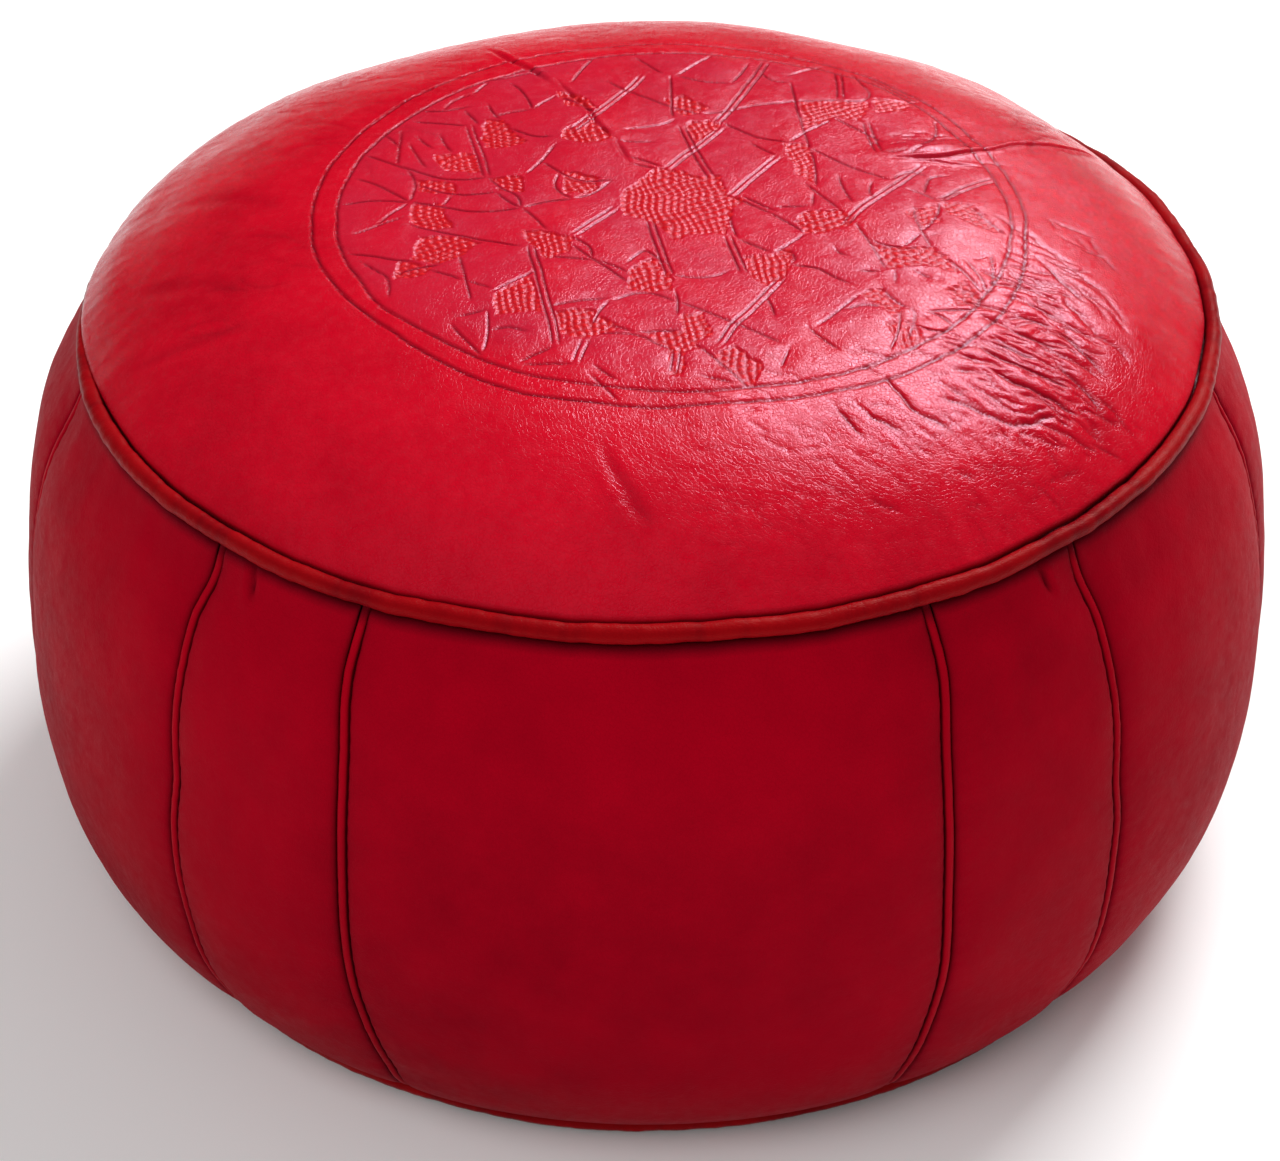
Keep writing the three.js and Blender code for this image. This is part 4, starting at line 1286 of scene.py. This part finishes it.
def build_inside(name, node, inset, material, seed, lump, shell):
    """A closed, lumpy body that hangs inside the leather all round, clear of the zip."""
    columns = 300
    lift = inset - LEAST_INSET
    dome_radius = DOME_RADIUS * np.sin(np.linspace(0, 1.5, 22))
    dome = np.stack([dome_radius, dome_height(dome_radius)], -1)
    side = OUTLINE[4:-6:3]
    floor = np.array([(r, INSIDE_FLOOR) for r in np.linspace(228, 0, 34)])
    line = np.vstack([dome, side])
    along = np.gradient(line, axis=0)
    along /= np.linalg.norm(along, axis=1, keepdims=True)
    line = line + inset * np.stack([along[:, 1], -along[:, 0]], -1)
    line[:, 0] = np.maximum(line[:, 0], 0)
    line[:, 1] = np.maximum(line[:, 1], INSIDE_FLOOR + lift)
    floor[:, 1] += lift
    outline = spline(np.vstack([line, floor]), 90)
    outline[0, 0] = outline[-1, 0] = 0.05
    azimuth = np.linspace(0, 360, columns, endpoint=False)
    points = around(outline[:, :1], azimuth[None, :], outline[:, 1:])
    normal = np.gradient(outline, axis=0)
    normal /= np.linalg.norm(normal, axis=1, keepdims=True)
    amount = lump * (gradient_noise(points, 34, seed) + 0.5 * gradient_noise(points, 12, seed + 1)) - lump
    amount *= smooth_step(outline[:, 1], 12, 40)[:, None]
    points += around(-normal[:, 1:] * amount, azimuth[None, :], normal[:, :1] * amount)
    x, y, z = points[..., 0], points[..., 1], points[..., 2]
    over = smooth_step(CHANNEL_HALF_LENGTH - np.abs(x), -9, 0)
    over = over * smooth_step(CHANNEL_HALF_WIDTH - np.abs(y), -9, 0)
    z[:] = np.maximum(z, (CHANNEL_HEIGHT + lift) * over)
    piece = add_mesh(name, points, grid_faces(len(outline), columns, close_columns=True), material)
    if shell:
        thicken(piece, shell)
    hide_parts(node)
    return piece


build_inside("inner_bag_cotton", "cotton_inner_bag", BAG_INSET, COTTON, 131, 0.8, 1.0)
build_inside("stuffing_fill", "stuffing", FILL_INSET, WADDING, 141, 1.0, 0)

# ---------------- stage, light and camera


# The camera fitted to the photograph, in degrees, metres and millimetres of lens.
CAMERA_ELEVATION, CAMERA_DISTANCE, CAMERA_AIM = 37.045, 1.26748, 0.10151
CAMERA_LENS, CAMERA_SENSOR, CAMERA_SHIFT = 77.656, 36, -0.0047
FLOOR_HALF = 9


def add_light(name, place, target, size, power):
    data = bpy.data.lights.new(name, "AREA")
    data.shape = "RECTANGLE"
    data.size, data.size_y = size
    data.energy = power
    lamp = bpy.data.objects.new(name, data)
    lamp.location = place
    lamp.rotation_euler = (Vector(target) - Vector(place)).to_track_quat("-Z", "Y").to_euler()
    bpy.context.scene.collection.objects.link(lamp)
    return lamp


def build_stage():
    """The pale floor, the lights and the camera."""
    scene = bpy.context.scene
    look = Look("floor")
    look.set(Base_Color=(0.95, 0.95, 0.95, 1), Roughness=0.9, Specular_IOR_Level=0.1)
    mesh = bpy.data.meshes.new("floor")
    corners = [(FLOOR_HALF * x, FLOOR_HALF * y, 0) for x, y in ((-1, -1), (1, -1), (1, 1), (-1, 1))]
    mesh.from_pydata(corners, [], [(0, 1, 2, 3)])
    mesh.materials.append(look.material)
    floor = bpy.data.objects.new("floor", mesh)
    scene.collection.objects.link(floor)

    world = bpy.data.worlds.new("studio")
    world.use_nodes = True
    sky = world.node_tree.nodes["Background"]
    sky.inputs["Color"].default_value = (1, 1, 1, 1)
    sky.inputs["Strength"].default_value = 0.34
    world.cycles_visibility.glossy = False
    scene.world = world

    add_light("window", (1.2, 1.75, 2.45), (0.12, -0.05, 0.28), (1.5, 1.4), 116)
    # The fill lights only soften the shadows; the window is the one that shines in the leather.
    fill = add_light("overhead", (-0.9, -1.5, 2.4), (0, 0, 0.2), (2.0, 2.0), 30)
    fill.visible_glossy = False

    camera = bpy.data.objects.new("camera", bpy.data.cameras.new("camera"))
    lift = math.radians(CAMERA_ELEVATION)
    camera.location = (
        0, -CAMERA_DISTANCE * math.cos(lift), CAMERA_AIM + CAMERA_DISTANCE * math.sin(lift),
    )
    camera.rotation_euler = (math.pi / 2 - lift, 0, 0)
    camera.data.lens = CAMERA_LENS
    camera.data.sensor_width = CAMERA_SENSOR
    camera.data.shift_x = CAMERA_SHIFT
    scene.collection.objects.link(camera)
    scene.camera = camera
    scene.view_settings.view_transform = "Standard"


build_stage()
